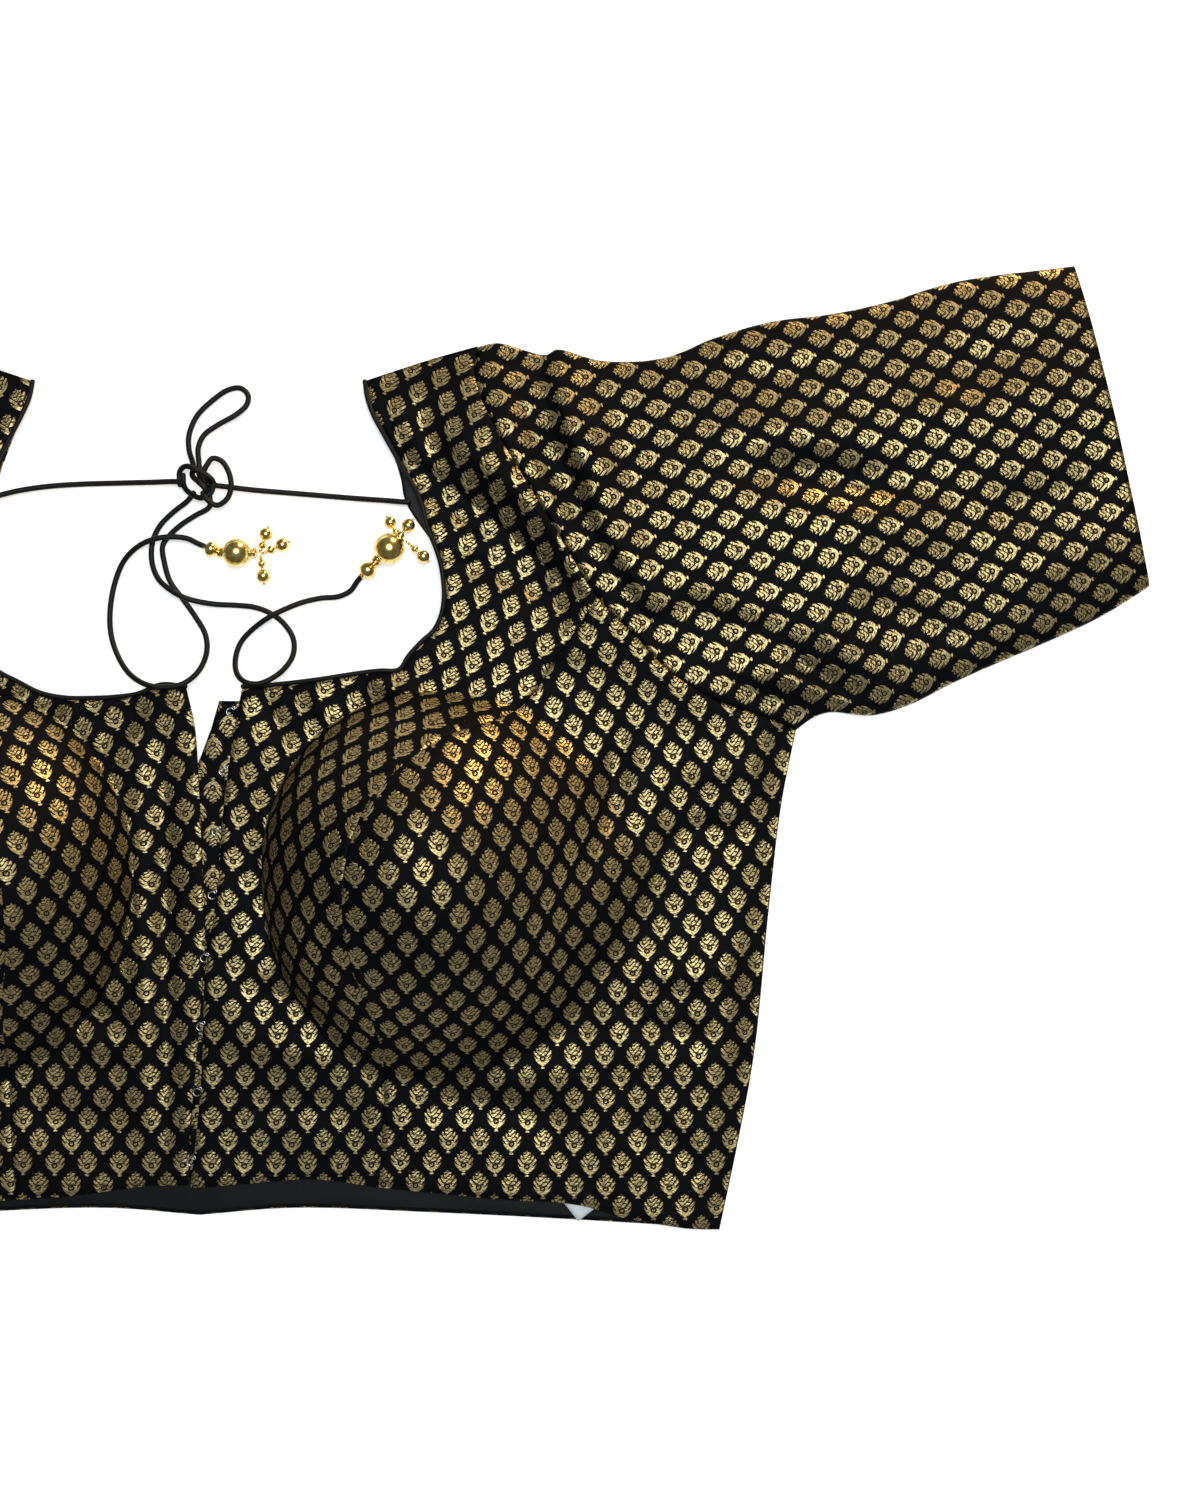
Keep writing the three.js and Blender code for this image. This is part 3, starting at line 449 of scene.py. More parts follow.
# Half the width of a buta (a leaf-shaped woven motif) up its height, in millimetres: the foot,
# the waist, then petals whose tips stand out like saw teeth up to the tip.
BUTA_HEIGHT = 11.0
BUTA_PROFILE = [
    (-5.5, 0.0), (-5.45, 1.0), (-4.8, 1.0), (-4.7, 0.5), (-4.4, 0.5), (-4.2, 0.9), (-3.4, 2.0),
    (-2.3, 3.1), (-0.9, 3.8), (0.6, 4.0), (1.8, 3.95), (1.9, 2.8), (3.1, 2.95), (3.2, 1.6),
    (4.3, 1.75), (4.4, 0.65), (5.5, 0.0),
]
PETALS = {"slope": 1.25, "first": -1.85, "spacing": 2.5}  # slits between petals, y = slope * x + first
VEINS = {"slope": 0.42, "first": 0.75, "spacing": 1.75, "wave": 0.4, "turns": 2.0}
SEED = {"y": -1.35, "inner": 0.6, "outer": 1.2}
PROFILE_SPAN = 4.5  # millimetres that stand for 1 in the curve of half-widths
EDGE = 4.5  # how fast the gold fades across a line's edge, for each millimetre


def buta_group(width, height):
    """Node group: how far a place on the cloth (u, v in millimetres) is inside a gold motif."""
    tree = bpy.data.node_groups.new("buta lattice", "ShaderNodeTree")
    for name in ("u", "v"):
        tree.interface.new_socket(name, in_out="INPUT", socket_type="NodeSocketFloat")
    tree.interface.new_socket("gold", in_out="OUTPUT", socket_type="NodeSocketFloat")
    entry = tree.nodes.new("NodeGroupInput")
    leave = tree.nodes.new("NodeGroupOutput")
    found = {"u": entry.outputs["u"], "v": entry.outputs["v"]}
    half = tree.nodes.new("ShaderNodeFloatCurve")
    curve = half.mapping.curves[0]
    places = [((y + BUTA_HEIGHT / 2) / BUTA_HEIGHT, reach / PROFILE_SPAN) for y, reach in BUTA_PROFILE]
    while len(curve.points) < len(places):
        curve.points.new(0.5, 0.5)
    for point, (share, reach) in zip(curve.points, places):
        point.location = (share, reach)
        point.handle_type = "VECTOR"
    half.mapping.update()
    found["half"] = half.outputs[0]
    slit, vein = PETALS["spacing"] / 2, VEINS["spacing"] / 2
    # name, operation and values of each step; a name among the values is an earlier step
    steps = [
        ("x", "WRAP", "u", width / 2, -width / 2),
        ("y", "WRAP", "v", height / 2, -height / 2),
        ("side", "ABSOLUTE", "x"),
        ("share", "MULTIPLY_ADD", "y", 1 / BUTA_HEIGHT, 0.5),
        ("reach", "MULTIPLY_ADD", "half", PROFILE_SPAN, -0.2),
        ("depth", "SUBTRACT", "reach", "side"),
        ("inside", "MULTIPLY_ADD", "depth", 2.6, 0.5),
        ("chevron", "MULTIPLY_ADD", "side", -PETALS["slope"], "y"),
        ("from_slit", "SUBTRACT", "chevron", PETALS["first"]),
        ("slit", "WRAP", "from_slit", slit, -slit),
        ("slit_gap", "ABSOLUTE", "slit"),
        ("slit_width", "MULTIPLY_ADD", "side", -0.4, -0.28),
        ("slit_line", "MULTIPLY_ADD", "slit_gap", EDGE, "slit_width"),
        ("outer_part", "MULTIPLY_ADD", "side", -2.5, 3.4),
        ("slits", "MAXIMUM", "slit_line", "outer_part"),
        ("below", "MULTIPLY_ADD", "y", -2.0, -2.2),
        ("petals", "MAXIMUM", "slits", "below"),
        ("phase", "MULTIPLY", "x", VEINS["turns"]),
        ("wave", "SINE", "phase"),
        ("slant", "MULTIPLY_ADD", "x", -VEINS["slope"], "y"),
        ("from_vein", "MULTIPLY_ADD", "wave", -VEINS["wave"], "slant"),
        ("over_vein", "SUBTRACT", "from_vein", VEINS["first"]),
        ("vein", "WRAP", "over_vein", vein, -vein),
        ("vein_gap", "ABSOLUTE", "vein"),
        ("vein_line", "MULTIPLY_ADD", "vein_gap", EDGE, -0.55),
        ("inner_part", "MULTIPLY_ADD", "side", 2.5, -4.6),
        ("veins_inside", "MAXIMUM", "vein_line", "inner_part"),
        ("veins", "MAXIMUM", "veins_inside", "below"),
        ("rise", "SUBTRACT", "y", SEED["y"]),
        ("x_square", "MULTIPLY", "x", "x"),
        ("square", "MULTIPLY_ADD", "rise", "rise", "x_square"),
        ("radius", "SQRT", "square"),
        ("ring_gap", "SUBTRACT", "radius", (SEED["inner"] + SEED["outer"]) / 2),
        ("ring_far", "ABSOLUTE", "ring_gap"),
        ("ring", "MULTIPLY_ADD", "ring_far", EDGE, 0.5 - EDGE / 2 * (SEED["outer"] - SEED["inner"])),
        ("lines", "MINIMUM", "petals", "veins"),
        ("inner_lines", "MINIMUM", "lines", "ring"),
        ("gold", "MINIMUM", "inside", "inner_lines"),
    ]
    for name, operation, *values in steps:
        sockets = {place: found.get(value, value) for place, value in enumerate(values)}
        found[name] = add_node(tree, "Math", sockets, operation=operation, use_clamp=name == "gold")
    tree.links.new(found["share"], half.inputs["Value"])
    clamped = add_node(tree, "Clamp", {"Value": found["gold"]})
    tree.links.new(clamped, leave.inputs["gold"])
    return tree


def brocade_material(colours, weave):
    """Black satin woven with gold zari motifs: the ground is dark and smooth, the gold a dull
    metal foil wound on yarn, a little proud and ribbed by the wefts, so it flickers with the light;
    its colour also mixes a lit and a shaded copy of the gold along the wefts, a painted sparkle."""
    material, tree = new_material("zari brocade")
    width, height = weave.motif_width * 1000, weave.motif_height * 1000
    group = buta_group(width, height)
    cloth = add_node(tree, "UVMap", uv_map="cloth")
    wander = add_node(tree, "TexNoise", {"Vector": cloth, "Scale": 1.3, "Detail": 1.0})
    wander = wander.node.outputs["Color"]
    centred = add_node(tree, "VectorMath", {0: wander, 1: (0.5, 0.5, 0.5)}, operation="SUBTRACT")
    # the motifs wander by up to half a millimetre, as woven ones do
    shift = add_node(tree, "VectorMath", {0: centred, 1: (0.09, 0.09, 0)}, operation="MULTIPLY")
    place = add_node(tree, "VectorMath", {0: cloth, 1: shift}, operation="ADD")
    millimetres = add_node(tree, "VectorMath", {0: place, 1: (10, 10, 10)}, operation="MULTIPLY")
    split = add_node(tree, "SeparateXYZ", {0: millimetres}).node
    lattices = []
    for name, drop in (("first", 0.0), ("half drop", 0.5)):
        u = add_node(tree, "Math", {0: split.outputs["X"], 1: drop * width}, operation="ADD")
        v = add_node(tree, "Math", {0: split.outputs["Y"], 1: drop * height}, operation="ADD")
        lattice = tree.nodes.new("ShaderNodeGroup")
        lattice.node_tree = group
        lattice.label = name
        tree.links.new(u, lattice.inputs["u"])
        tree.links.new(v, lattice.inputs["v"])
        lattices.append(lattice.outputs["gold"])
    gold = add_node(tree, "Math", {0: lattices[0], 1: lattices[1]}, operation="MAXIMUM")
    # wefts 0.4 mm apart, drawn coarser than the real 0.2 mm so that they show
    wefts = add_node(tree, "Mapping", {"Vector": cloth, "Scale": (8, 26, 1)})
    thread = add_node(tree, "TexNoise", {"Vector": wefts, "Scale": 1.0, "Detail": 1.0, "Roughness": 0.6})
    # painted sparkle: this weft noise mixes a shaded and a lit copy of the gold, painted highlight on some
    # threads and painted shade between them; the same noise also ribs the bump
    painted_sparkle = add_node(tree, "MapRange", {"Value": thread, "From Min": 0.38, "From Max": 0.64})
    zari = add_node(
        tree, "Mix", {0: painted_sparkle, 6: (*colours.zari_shade, 1), 7: (*colours.zari, 1)}, data_type="RGBA"
    ).node.outputs[2]
    wear = add_node(tree, "TexNoise", {"Vector": cloth, "Scale": 0.6, "Detail": 3.0})
    ground = add_node(
        tree, "Mix", {0: wear, 6: (*colours.ground_deep, 1), 7: (*colours.ground, 1)}, data_type="RGBA"
    ).node.outputs[2]
    colour = add_node(tree, "Mix", {0: gold, 6: ground, 7: zari}, data_type="RGBA").node.outputs[2]
    rough = add_node(tree, "MapRange", {"Value": gold, "To Min": 0.62, "To Max": 0.37})
    metal = add_node(tree, "Math", {0: gold, 1: 0.8}, operation="MULTIPLY")
    ribs = add_node(tree, "Math", {0: thread, 1: gold}, operation="MULTIPLY")
    relief = add_node(tree, "Math", {0: ribs, 1: 0.9, 2: gold}, operation="MULTIPLY_ADD")
    bump = add_node(tree, "Bump", {"Height": relief, "Strength": 0.8, "Distance": 0.18 * MM})
    shader = add_node(
        tree, "BsdfPrincipled",
        {
            "Base Color": colour, "Roughness": rough, "Metallic": metal, "Normal": bump,
            "Specular IOR Level": 0.05,
        },
    )
    add_node(tree, "OutputMaterial", {"Surface": shader})
    return material


def yarn_material(name, colour, shade, scale, roughness, specular, strength, sheen=0.0):
    """Plain woven or twisted yarn that follows the piece's own cloth map."""
    material, tree = new_material(name)
    cloth = add_node(tree, "UVMap", uv_map="cloth")
    threads = add_node(tree, "Mapping", {"Vector": cloth, "Scale": scale})
    yarn = add_node(tree, "TexNoise", {"Vector": threads, "Scale": 1.0, "Detail": 2.0})
    dust = add_node(tree, "TexNoise", {"Vector": cloth, "Scale": 2.0, "Detail": 4.0})
    both = add_node(tree, "Math", {0: yarn, 1: dust}, operation="MULTIPLY")
    share = add_node(tree, "MapRange", {"Value": both, "From Min": 0.12, "From Max": 0.42})
    tint = add_node(tree, "Mix", {0: share, 6: (*shade, 1), 7: (*colour, 1)}, data_type="RGBA")
    rough = add_node(
        tree, "MapRange", {"Value": dust, "To Min": roughness - 0.06, "To Max": roughness + 0.06}
    )
    bump = add_node(tree, "Bump", {"Height": yarn, "Strength": strength, "Distance": 0.12 * MM})
    shader = add_node(
        tree, "BsdfPrincipled",
        {
            "Base Color": tint.node.outputs[2], "Roughness": rough, "Normal": bump,
            "Specular IOR Level": specular, "Sheen Weight": sheen, "Sheen Roughness": 0.4,
        },
    )
    add_node(tree, "OutputMaterial", {"Surface": shader})
    return material


def metal_material(name, colour, shade, roughness, strength):
    """Polished or drawn metal: tarnish gathers in soft patches and its surface is not quite even."""
    material, tree = new_material(name)
    place = add_node(tree, "TexCoord").node.outputs["Object"]
    patches = add_node(tree, "TexNoise", {"Vector": place, "Scale": 420.0, "Detail": 3.0})
    share = add_node(tree, "MapRange", {"Value": patches, "From Min": 0.35, "From Max": 0.65})
    tint = add_node(tree, "Mix", {0: share, 6: (*shade, 1), 7: (*colour, 1)}, data_type="RGBA")
    rough = add_node(
        tree, "MapRange", {"Value": patches, "To Min": roughness + 0.08, "To Max": roughness - 0.04}
    )
    dents = add_node(tree, "TexNoise", {"Vector": place, "Scale": 900.0, "Detail": 1.0})
    bump = add_node(tree, "Bump", {"Height": dents, "Strength": strength, "Distance": 0.2 * MM})
    shader = add_node(
        tree, "BsdfPrincipled",
        {"Base Color": tint.node.outputs[2], "Roughness": rough, "Metallic": 1.0, "Normal": bump},
    )
    add_node(tree, "OutputMaterial", {"Surface": shader})
    return material


def finish(name):
    """The finish of that name, made the first time it is asked for."""
    if name in bpy.data.materials:
        return bpy.data.materials[name]
    colours = bpy.context.scene.choli_colours
    weave = bpy.context.scene.choli_weave
    makers = {
        "zari brocade": lambda: brocade_material(colours, weave),
        # satin facing: warp floats give it fine lines along its length
        "black satin": lambda: yarn_material(
            "black satin", colours.satin, linear("#040404"), (22, 4, 1), 0.55, 0.2, 0.35, sheen=0.02
        ),
        # rat-tail cord: a dense satin tube with a faint spiral of threads
        "satin cord": lambda: yarn_material(
            "satin cord", colours.cord, linear("#050505"), (9, 40, 1), 0.5, 0.22, 0.5
        ),
        "cotton tape": lambda: yarn_material(
            "cotton tape", colours.tape, linear("#cfd4d6"), (20, 20, 1), 0.85, 0.2, 0.5
        ),
        "polished brass": lambda: metal_material(
            "polished brass", colours.brass, linear("#dcb75c"), 0.2, 0.02
        ),
        "nickelled steel": lambda: metal_material(
            "nickelled steel", colours.steel, linear("#8d8f90"), 0.24, 0.03
        ),
    }
    return makers[name]()


# ---------------------------------------------------------------- creases, listed one by one
# Each row: start, middle and end of the crease (x, y), its reach to the left and to the right of
# that line, and its rise (it sinks below 0). A short reach on one side makes a sharp fold.
FRONT_CREASES = {
    "left": [
        (172, 12, 166, -24, 142, -76, 6, 6, -3.1), (188, 6, 180, -36, 158, -86, 9, 9, 2.4),
        (80, 121, 109, 99, 160, 58, 4, 8, -4.6), (92, 132, 121, 111, 156, 80, 7, 6, 2.8),
        (98, 72, 126, 72, 154, 50, 4, 6, -2.8), (100, 90, 124, 84, 148, 62, 4, 5, 1.6),
        (128, 44, 146, 40, 168, 44, 6, 6, 1.5),
        (69, 33, 80, 24, 97, 21, 3.5, 3.5, 1.9), (64, 22, 82, 13, 99, 10, 4, 4, -1.9),
        (28, 22, 31, 12, 40, 4, 4, 4, -1.4), (46, 24, 52, 14, 56, 6, 4, 4, 1.2),
        (14, -96, 38, -104, 62, -112, 6, 6, -2.2), (10, -118, 36, -122, 66, -128, 7, 7, 1.7),
        (22, -150, 44, -146, 70, -152, 6, 6, -1.2), (24, -40, 26, -66, 32, -92, 5, 5, -1.7),
        (84, -150, 118, -146, 150, -156, 7, 7, -1.7), (96, -132, 132, -134, 170, -122, 8, 8, 1.7),
        (170, -104, 192, -116, 214, -118, 7, 7, -2.2), (176, -86, 196, -92, 222, -88, 6, 6, 1.9),
        (190, -40, 206, -34, 226, -36, 6, 6, -2.2), (196, -14, 210, -8, 230, -10, 6, 6, 1.7),
        (172, -150, 190, -160, 208, -176, 7, 7, -1.7), (80, 138, 88, 128, 92, 112, 5, 5, 1.5),
    ],
    "right": [
        (14, 10, 13, -80, 12, -172, 5, 5, -2.4), (24, 8, 22, -84, 21, -160, 6, 6, 1.5),
        (24, -112, 44, -108, 66, -106, 4, 4, -3.1), (22, -122, 46, -119, 68, -120, 6, 6, 1.9),
        (26, -146, 46, -152, 70, -148, 7, 7, -1.5), (62, 26, 76, 18, 94, 16, 4, 4, 1.7),
        (22, 20, 28, 10, 42, 4, 4, 4, -1.5), (46, 20, 54, 12, 60, 4, 4, 4, 1.2),
        (176, 12, 168, -28, 146, -80, 7, 7, -2.7), (190, 2, 182, -40, 162, -90, 9, 9, 2.2),
        (95, 118, 112, 102, 138, 88, 4, 4, -2.7), (136, 72, 150, 60, 164, 58, 6, 6, -2.4),
        (88, -148, 122, -152, 156, -148, 7, 7, -1.9), (98, -130, 130, -128, 168, -126, 8, 8, 1.5),
        (168, -110, 190, -112, 218, -108, 7, 7, -2), (186, -44, 204, -42, 228, -30, 6, 6, -2),
        (192, -16, 208, -12, 232, -14, 6, 6, 1.7), (170, -156, 192, -164, 206, -180, 7, 7, -1.5),
    ],
}
SLEEVE_CREASES = {
    "left": [
        (143, 168, 149, 136, 164, 94, 13, 3, 6.5), (130, 158, 139, 126, 160, 88, 8, 6, -3.6),
        (156, 112, 168, 86, 188, 52, 10, 4, 4.0),
        (128, 150, 134, 136, 146, 118, 5, 5, -2), (166, 150, 172, 126, 184, 100, 9, 9, -2.7),
        (216, 112, 250, 110, 290, 102, 8, 8, -3.7), (206, 126, 248, 128, 292, 120, 9, 9, 2.4),
        (236, 96, 268, 92, 312, 88, 10, 10, 2.2), (196, 158, 232, 152, 276, 160, 6, 6, -1.7),
        (238, 44, 252, 30, 274, 18, 4, 4, -3.1), (232, 34, 246, 24, 262, 16, 3.5, 3.5, 2.4),
        (248, 56, 262, 40, 282, 26, 5, 5, 2.5), (214, 30, 230, 21, 250, 16, 3.5, 3.5, -2.5),
        (268, 62, 292, 52, 318, 42, 7, 7, -2.4), (196, 60, 222, 48, 246, 42, 7, 7, -2),
        (300, 150, 326, 160, 352, 168, 9, 9, -2), (318, 92, 344, 100, 372, 108, 9, 9, -1.7),
        (330, 64, 348, 74, 372, 84, 8, 8, 1.7), (284, 138, 316, 136, 350, 142, 10, 10, 2),
    ],
    "right": [
        (140, 160, 149, 140, 158, 108, 6, 6, 6.5), (158, 106, 166, 82, 188, 52, 6, 6, 4.8),
        (126, 148, 136, 134, 144, 116, 5, 5, -1.9), (168, 146, 176, 124, 188, 98, 9, 9, -2.5),
        (214, 118, 246, 120, 286, 112, 8, 8, -3.4), (208, 134, 250, 138, 296, 130, 9, 9, 2.2),
        (232, 92, 270, 96, 310, 92, 10, 10, 2), (236, 48, 254, 32, 272, 20, 4, 4, -2.9),
        (246, 60, 264, 44, 286, 30, 5, 5, 2.4), (212, 34, 228, 23, 246, 16, 3.5, 3.5, -2.4),
        (270, 68, 296, 58, 320, 50, 7, 7, -2.2), (296, 156, 324, 162, 356, 160, 9, 9, -1.9),
        (316, 98, 346, 104, 370, 116, 9, 9, -1.7), (328, 70, 350, 76, 374, 92, 8, 8, 1.7),
    ],
}
# The back lies on the table, so its creases only lift its inner side.
BACK_CREASES = [
    (-150, -40, -60, -70, 40, -62, 10, 10, 0.5), (30, -96, 90, -110, 170, -98, 10, 10, 0.5),
    (-180, -120, -110, -136, -30, -128, 9, 9, 0.5), (60, -150, 120, -160, 190, -150, 8, 8, 0.4),
    (150, 30, 170, -10, 200, -40, 9, 9, 0.5), (-160, 40, -176, 0, -200, -30, 9, 9, 0.5),
]
SEAM_REACH = 1.1  # how far from a sewn seam the cloth turns down into it


def edge_dip(grid, depth):
    """How far the cloth of a panel turns down towards its own edge."""
    loop = np.vstack([grid[0], grid[1:, -1], grid[-1, ::-1][1:], grid[::-1, 0][1:]])
    gap, _ = distance_to(loop[::2], grid[..., 0], grid[..., 1])  # its sign does not matter here
    return depth * np.exp(-((gap / SEAM_REACH) ** 2))


def eased(count):
    """Shares from 0 to 1 that stand closer at both ends, where the seams are."""
    even = np.linspace(0, 1, count + 1)
    return 0.35 * even + 0.65 * (1 - np.cos(np.pi * even)) / 2


# ---------------------------------------------------------------- fronts
def princess_of(edges, steps):
    meeting = tuple(spaced(ARMHOLE, ARMHOLE_STEPS)[PRINCESS_TOP])
    return spaced([edges["hem"][-1], *PRINCESS_SEAM, meeting], steps)


def front_centre_grid(side):
    edges = FRONTS[side]
    rows = {name: count * FINE for name, count in CENTRE_ROWS.items()}
    inner = joined(
        spaced(edges["centre_edge"], rows["centre_edge"]), spaced(edges["neckline"], rows["neckline"]),
        spaced(STRAP_EDGE, rows["strap"]),
    )
    armhole = spaced(ARMHOLE, ARMHOLE_STEPS * FINE)[: rows["armhole"] + 1][::-1]
    outer = joined(princess_of(edges, rows["princess"]), armhole)
    shares = eased(PANEL_COLUMNS)
    return coons(spaced(edges["hem"], shares), outer, spaced(SHOULDER, shares), inner, shares)


def front_side_grid(side):
    edges = FRONTS[side]
    rows = CENTRE_ROWS["princess"] * FINE
    shares = eased(PANEL_COLUMNS)
    start = PRINCESS_TOP / ARMHOLE_STEPS
    top = spaced(ARMHOLE, start + (1 - start) * shares)
    hem = spaced(edges["side_hem"], shares)
    return coons(hem, spaced(SIDE_SEAM, rows), top, princess_of(edges, rows), shares)


def cut_size(piece):
    """Width and length of the flat cut in metres, and its area, from the piece's cloth map."""
    mesh = piece.data
    flat = np.empty(len(mesh.loops) * 2, np.float32)
    mesh.uv_layers["cloth"].uv.foreach_get("vector", flat)
    width, length = np.ptp(flat.reshape(-1, 2), axis=0) / 100
    area = sum(polygon.area for polygon in mesh.polygons)
    return (float(width), float(length)), float(min(max(area, 0.31 * width * length), width * length))


def front_panel(kind, side):
    cloth = bpy.context.scene.choli_cloth
    grid = front_centre_grid(side) if kind == "centre" else front_side_grid(side)
    x, y = grid[..., 0], grid[..., 1]
    creases = [(*row[:-1], row[-1] * cloth.crease_depth) for row in FRONT_CREASES[side]]
    height = front_height(x, y, creases) - edge_dip(grid, cloth.seam_ditch / MM)
    height = np.maximum(height, FRONT_EDGE)
    name = f"front_{kind}_{side}"
    points = np.dstack([x, y, height])
    sign = 1 if side == "left" else -1
    cut = flattened(points, lambda place: place[..., 1] < -110) * (sign, 1) / 10
    mesh = grid_mesh(name + "_cloth", points, side, cloth_map=cut)
    piece = new_object(name + "_cloth", mesh, [name], finish("zari brocade"))
    flat, area = cut_size(piece)
    thicken(piece, CLOTH, 1)


# ---------------------------------------------------------------- sleeves
SLEEVE_AXIS = (0.974, 0.227)  # from the shoulder to the cuff, along the warp
FOLD_RADIUS = CLOTH + GAP / 2  # outside of the fold where the two layers meet
SLEEVE_SHARES = eased(SLEEVE_COLUMNS)  # from the underarm fold up to the top fold
SLEEVE_RINGS = 120
SLEEVE_LENGTH = 240  # from the armhole to the cuff


def sleeve_height(grid, armhole, creases):
    """Underside of a sleeve's upper layer over a grid of rows from underarm to top."""
    u = 1 - SLEEVE_SHARES[:, None]
    v = np.linspace(0, 1, grid.shape[1])[None, :]
    near, far = SLEEVE_FULLNESS["v"]
    rise_near, rise_far = SLEEVE_FULLNESS["rise"]
    start = (front_height(armhole[:, 0], armhole[:, 1]) - FRONT_EDGE)[:, None]
    full = rise_near + (rise_far - rise_near) * np.clip((v - near) / (far - near), 0, 1)
    arch = np.maximum(0, np.sin(np.pi * u)) ** 0.55
    x, y = grid[..., 0], grid[..., 1]
    folds = fold_rise(SLEEVE_FOLDS, x, y) + crease_rise(creases, x, y) + 1.3 * settle(x, y)
    rise = start + (full * arch - start) * smooth(v / near)
    steady = smooth(v / 0.04)
    return FRONT_EDGE + np.maximum(0, rise + steady * arch * folds)


def sleeve_piece(side):
    cloth = bpy.context.scene.choli_cloth
    armhole = spaced(ARMHOLE, 1 - SLEEVE_SHARES)
    along = np.linspace(0, 1, SLEEVE_RINGS + 1)
    cuff = spaced(CUFF, 1 - SLEEVE_SHARES)
    # the rows of this patch run from the underarm up to the top edge
    grid = coons(
        spaced(SLEEVE_UNDER, along), cuff, spaced(SLEEVE_TOP, along), armhole, along, SLEEVE_SHARES
    )
    creases = [(*row[:-1], row[-1] * cloth.crease_depth) for row in SLEEVE_CREASES[side]]
    upper = sleeve_height(grid, armhole, creases) + CLOTH
    width = np.linalg.norm(grid[-1] - grid[0], axis=1)[None, :]
    share = SLEEVE_SHARES[:, None]
    from_edge = np.minimum(share, 1 - share) * width
    round_off = np.sqrt(np.clip(1 - (1 - np.minimum(from_edge / FOLD_RADIUS, 1)) ** 2, 0, 1))
    top = FOLD_RADIUS + (upper - FOLD_RADIUS) * round_off
    ditch = cloth.seam_ditch / MM * np.exp(-((along * SLEEVE_LENGTH / SEAM_REACH) ** 2))[None, :]
    top = top - ditch * round_off
    bottom = FOLD_RADIUS * (1 - round_off)
    over = np.dstack([grid, top])[::-1]
    under = np.dstack([grid, bottom])[1:-1]
    ring = np.concatenate([over, under, over[:1]], axis=0)
    mesh_points = ring.transpose(1, 0, 2)
    # the cloth map runs round the tube from the top fold, so the lower layer carries on from it
    right = np.array([-SLEEVE_AXIS[1], SLEEVE_AXIS[0]])
    across = ring[..., :2] @ right
    steps = np.hypot(np.diff(across, axis=0), np.diff(ring[..., 2], axis=0))
    round_u = across[:1] - np.concatenate([np.zeros((1, steps.shape[1])), np.cumsum(steps, axis=0)])
    up = -(ring[..., :2] @ np.array(SLEEVE_AXIS))
    coordinates = np.dstack([round_u, up]).transpose(1, 0, 2) / 10
    name = f"sleeve_{side}"
    mesh = grid_mesh(name + "_cloth", mesh_points, side, cloth_map=coordinates, merge=True)
    piece = new_object(name + "_cloth", mesh, [name], finish("zari brocade"))
    thicken(piece, CLOTH, -1)


# ---------------------------------------------------------------- back
def mirrored_loop(half):
    """A closed outline from the points of its +X half, which start and end on the middle."""
    other = half[1:-1][::-1] * np.array([-1, 1])
    return np.vstack([half, other])


def back_piece():
    half = joined(
        spaced(BACK_HEM, 24), spaced(SIDE_SEAM, 32), spaced(ARMHOLE, 39)[::-1],
        spaced(SHOULDER, 6)[::-1], spaced(BACK_NECK, 44),
    )
    outline = inset(mirrored_loop(half), GAP / 2)
    bm = bmesh.new()
    corners = [bm.verts.new((x * MM, y * MM, 0)) for x, y in outline]
    bm.faces.new(corners)
    for axis, low, high in (((1, 0, 0), -240, 240), ((0, 1, 0), -194, 160)):
        for place in np.arange(low, high + 1, 6.0):
            cut = Vector(axis) * float(place) * MM
            bmesh.ops.bisect_plane(
                bm, geom=bm.verts[:] + bm.edges[:] + bm.faces[:], plane_co=cut, plane_no=axis
            )
    bmesh.ops.triangulate(bm, faces=[face for face in bm.faces if len(face.verts) > 4])
    bmesh.ops.recalc_face_normals(bm, faces=bm.faces)
    if sum(face.normal.z for face in bm.faces) < 0:
        bmesh.ops.reverse_faces(bm, faces=bm.faces)
    uv = bm.loops.layers.uv.new("cloth")
    for face in bm.faces:
        for loop in face.loops:
            loop[uv].uv = (loop.vert.co.x * 100, loop.vert.co.y * 100)
    for vert in bm.verts:
        lift = crease_rise(BACK_CREASES, vert.co.x / MM, vert.co.y / MM)
        vert.co.z = float(np.clip(lift, 0, 0.25)) * MM
    mesh = bpy.data.meshes.new("back_cloth")
    bm.to_mesh(mesh)
    bm.free()
    piece = new_object("back_cloth", mesh, ["back"], finish("zari brocade"))
    flat, area = cut_size(piece)
    thicken(piece, CLOTH - 0.25, 1)


# ---------------------------------------------------------------- facings, placket and label
def strip_piece(name, grid, under, wave, node, material, cloth_map=None, side="left"):
    """A thin sewn strip on a grid of plan points: soft, a little wavy, with turned edges."""
    x, y = grid[..., 0], grid[..., 1]
    rows, columns = x.shape
    edge = np.minimum(np.arange(rows), np.arange(rows)[::-1])[:, None]
    edge = np.minimum(edge, np.minimum(np.arange(columns), np.arange(columns)[::-1])[None, :])
    lift = 0.12 * (1 + np.sin(x / wave[0] + 0.7 * np.sin(y / wave[1]))) * np.minimum(edge, 2) / 2
    if cloth_map is None:
        cloth_map = np.dstack([x, y]) / 10
    mesh = grid_mesh(name, np.dstack([x, y, under + lift]), side, cloth_map=cloth_map)
    piece = new_object(name, mesh, [node], material)
    flat, area = cut_size(piece)
    thicken(piece, FACING - 0.25, 1)
    return piece


def between(low, high, rows):
    """A grid of plan points between two lines of points."""
    v = np.linspace(0, 1, rows + 1)[:, None, None]
    return (1 - v) * low[None] + v * high[None]


def hem_facing_piece():
    half = spaced(BACK_HEM, 64)[:-8]
    hem = np.vstack([half[1:][::-1] * np.array([-1, 1]), half])
    grid = between(hem + (0, 1), hem + (0, HEM_FACING_DEPTH), 16)
    strip_piece(
        "hem_facing_satin", grid, FACING_UNDER, (9, 5), "hem_facing",
        finish("black satin"),
    )


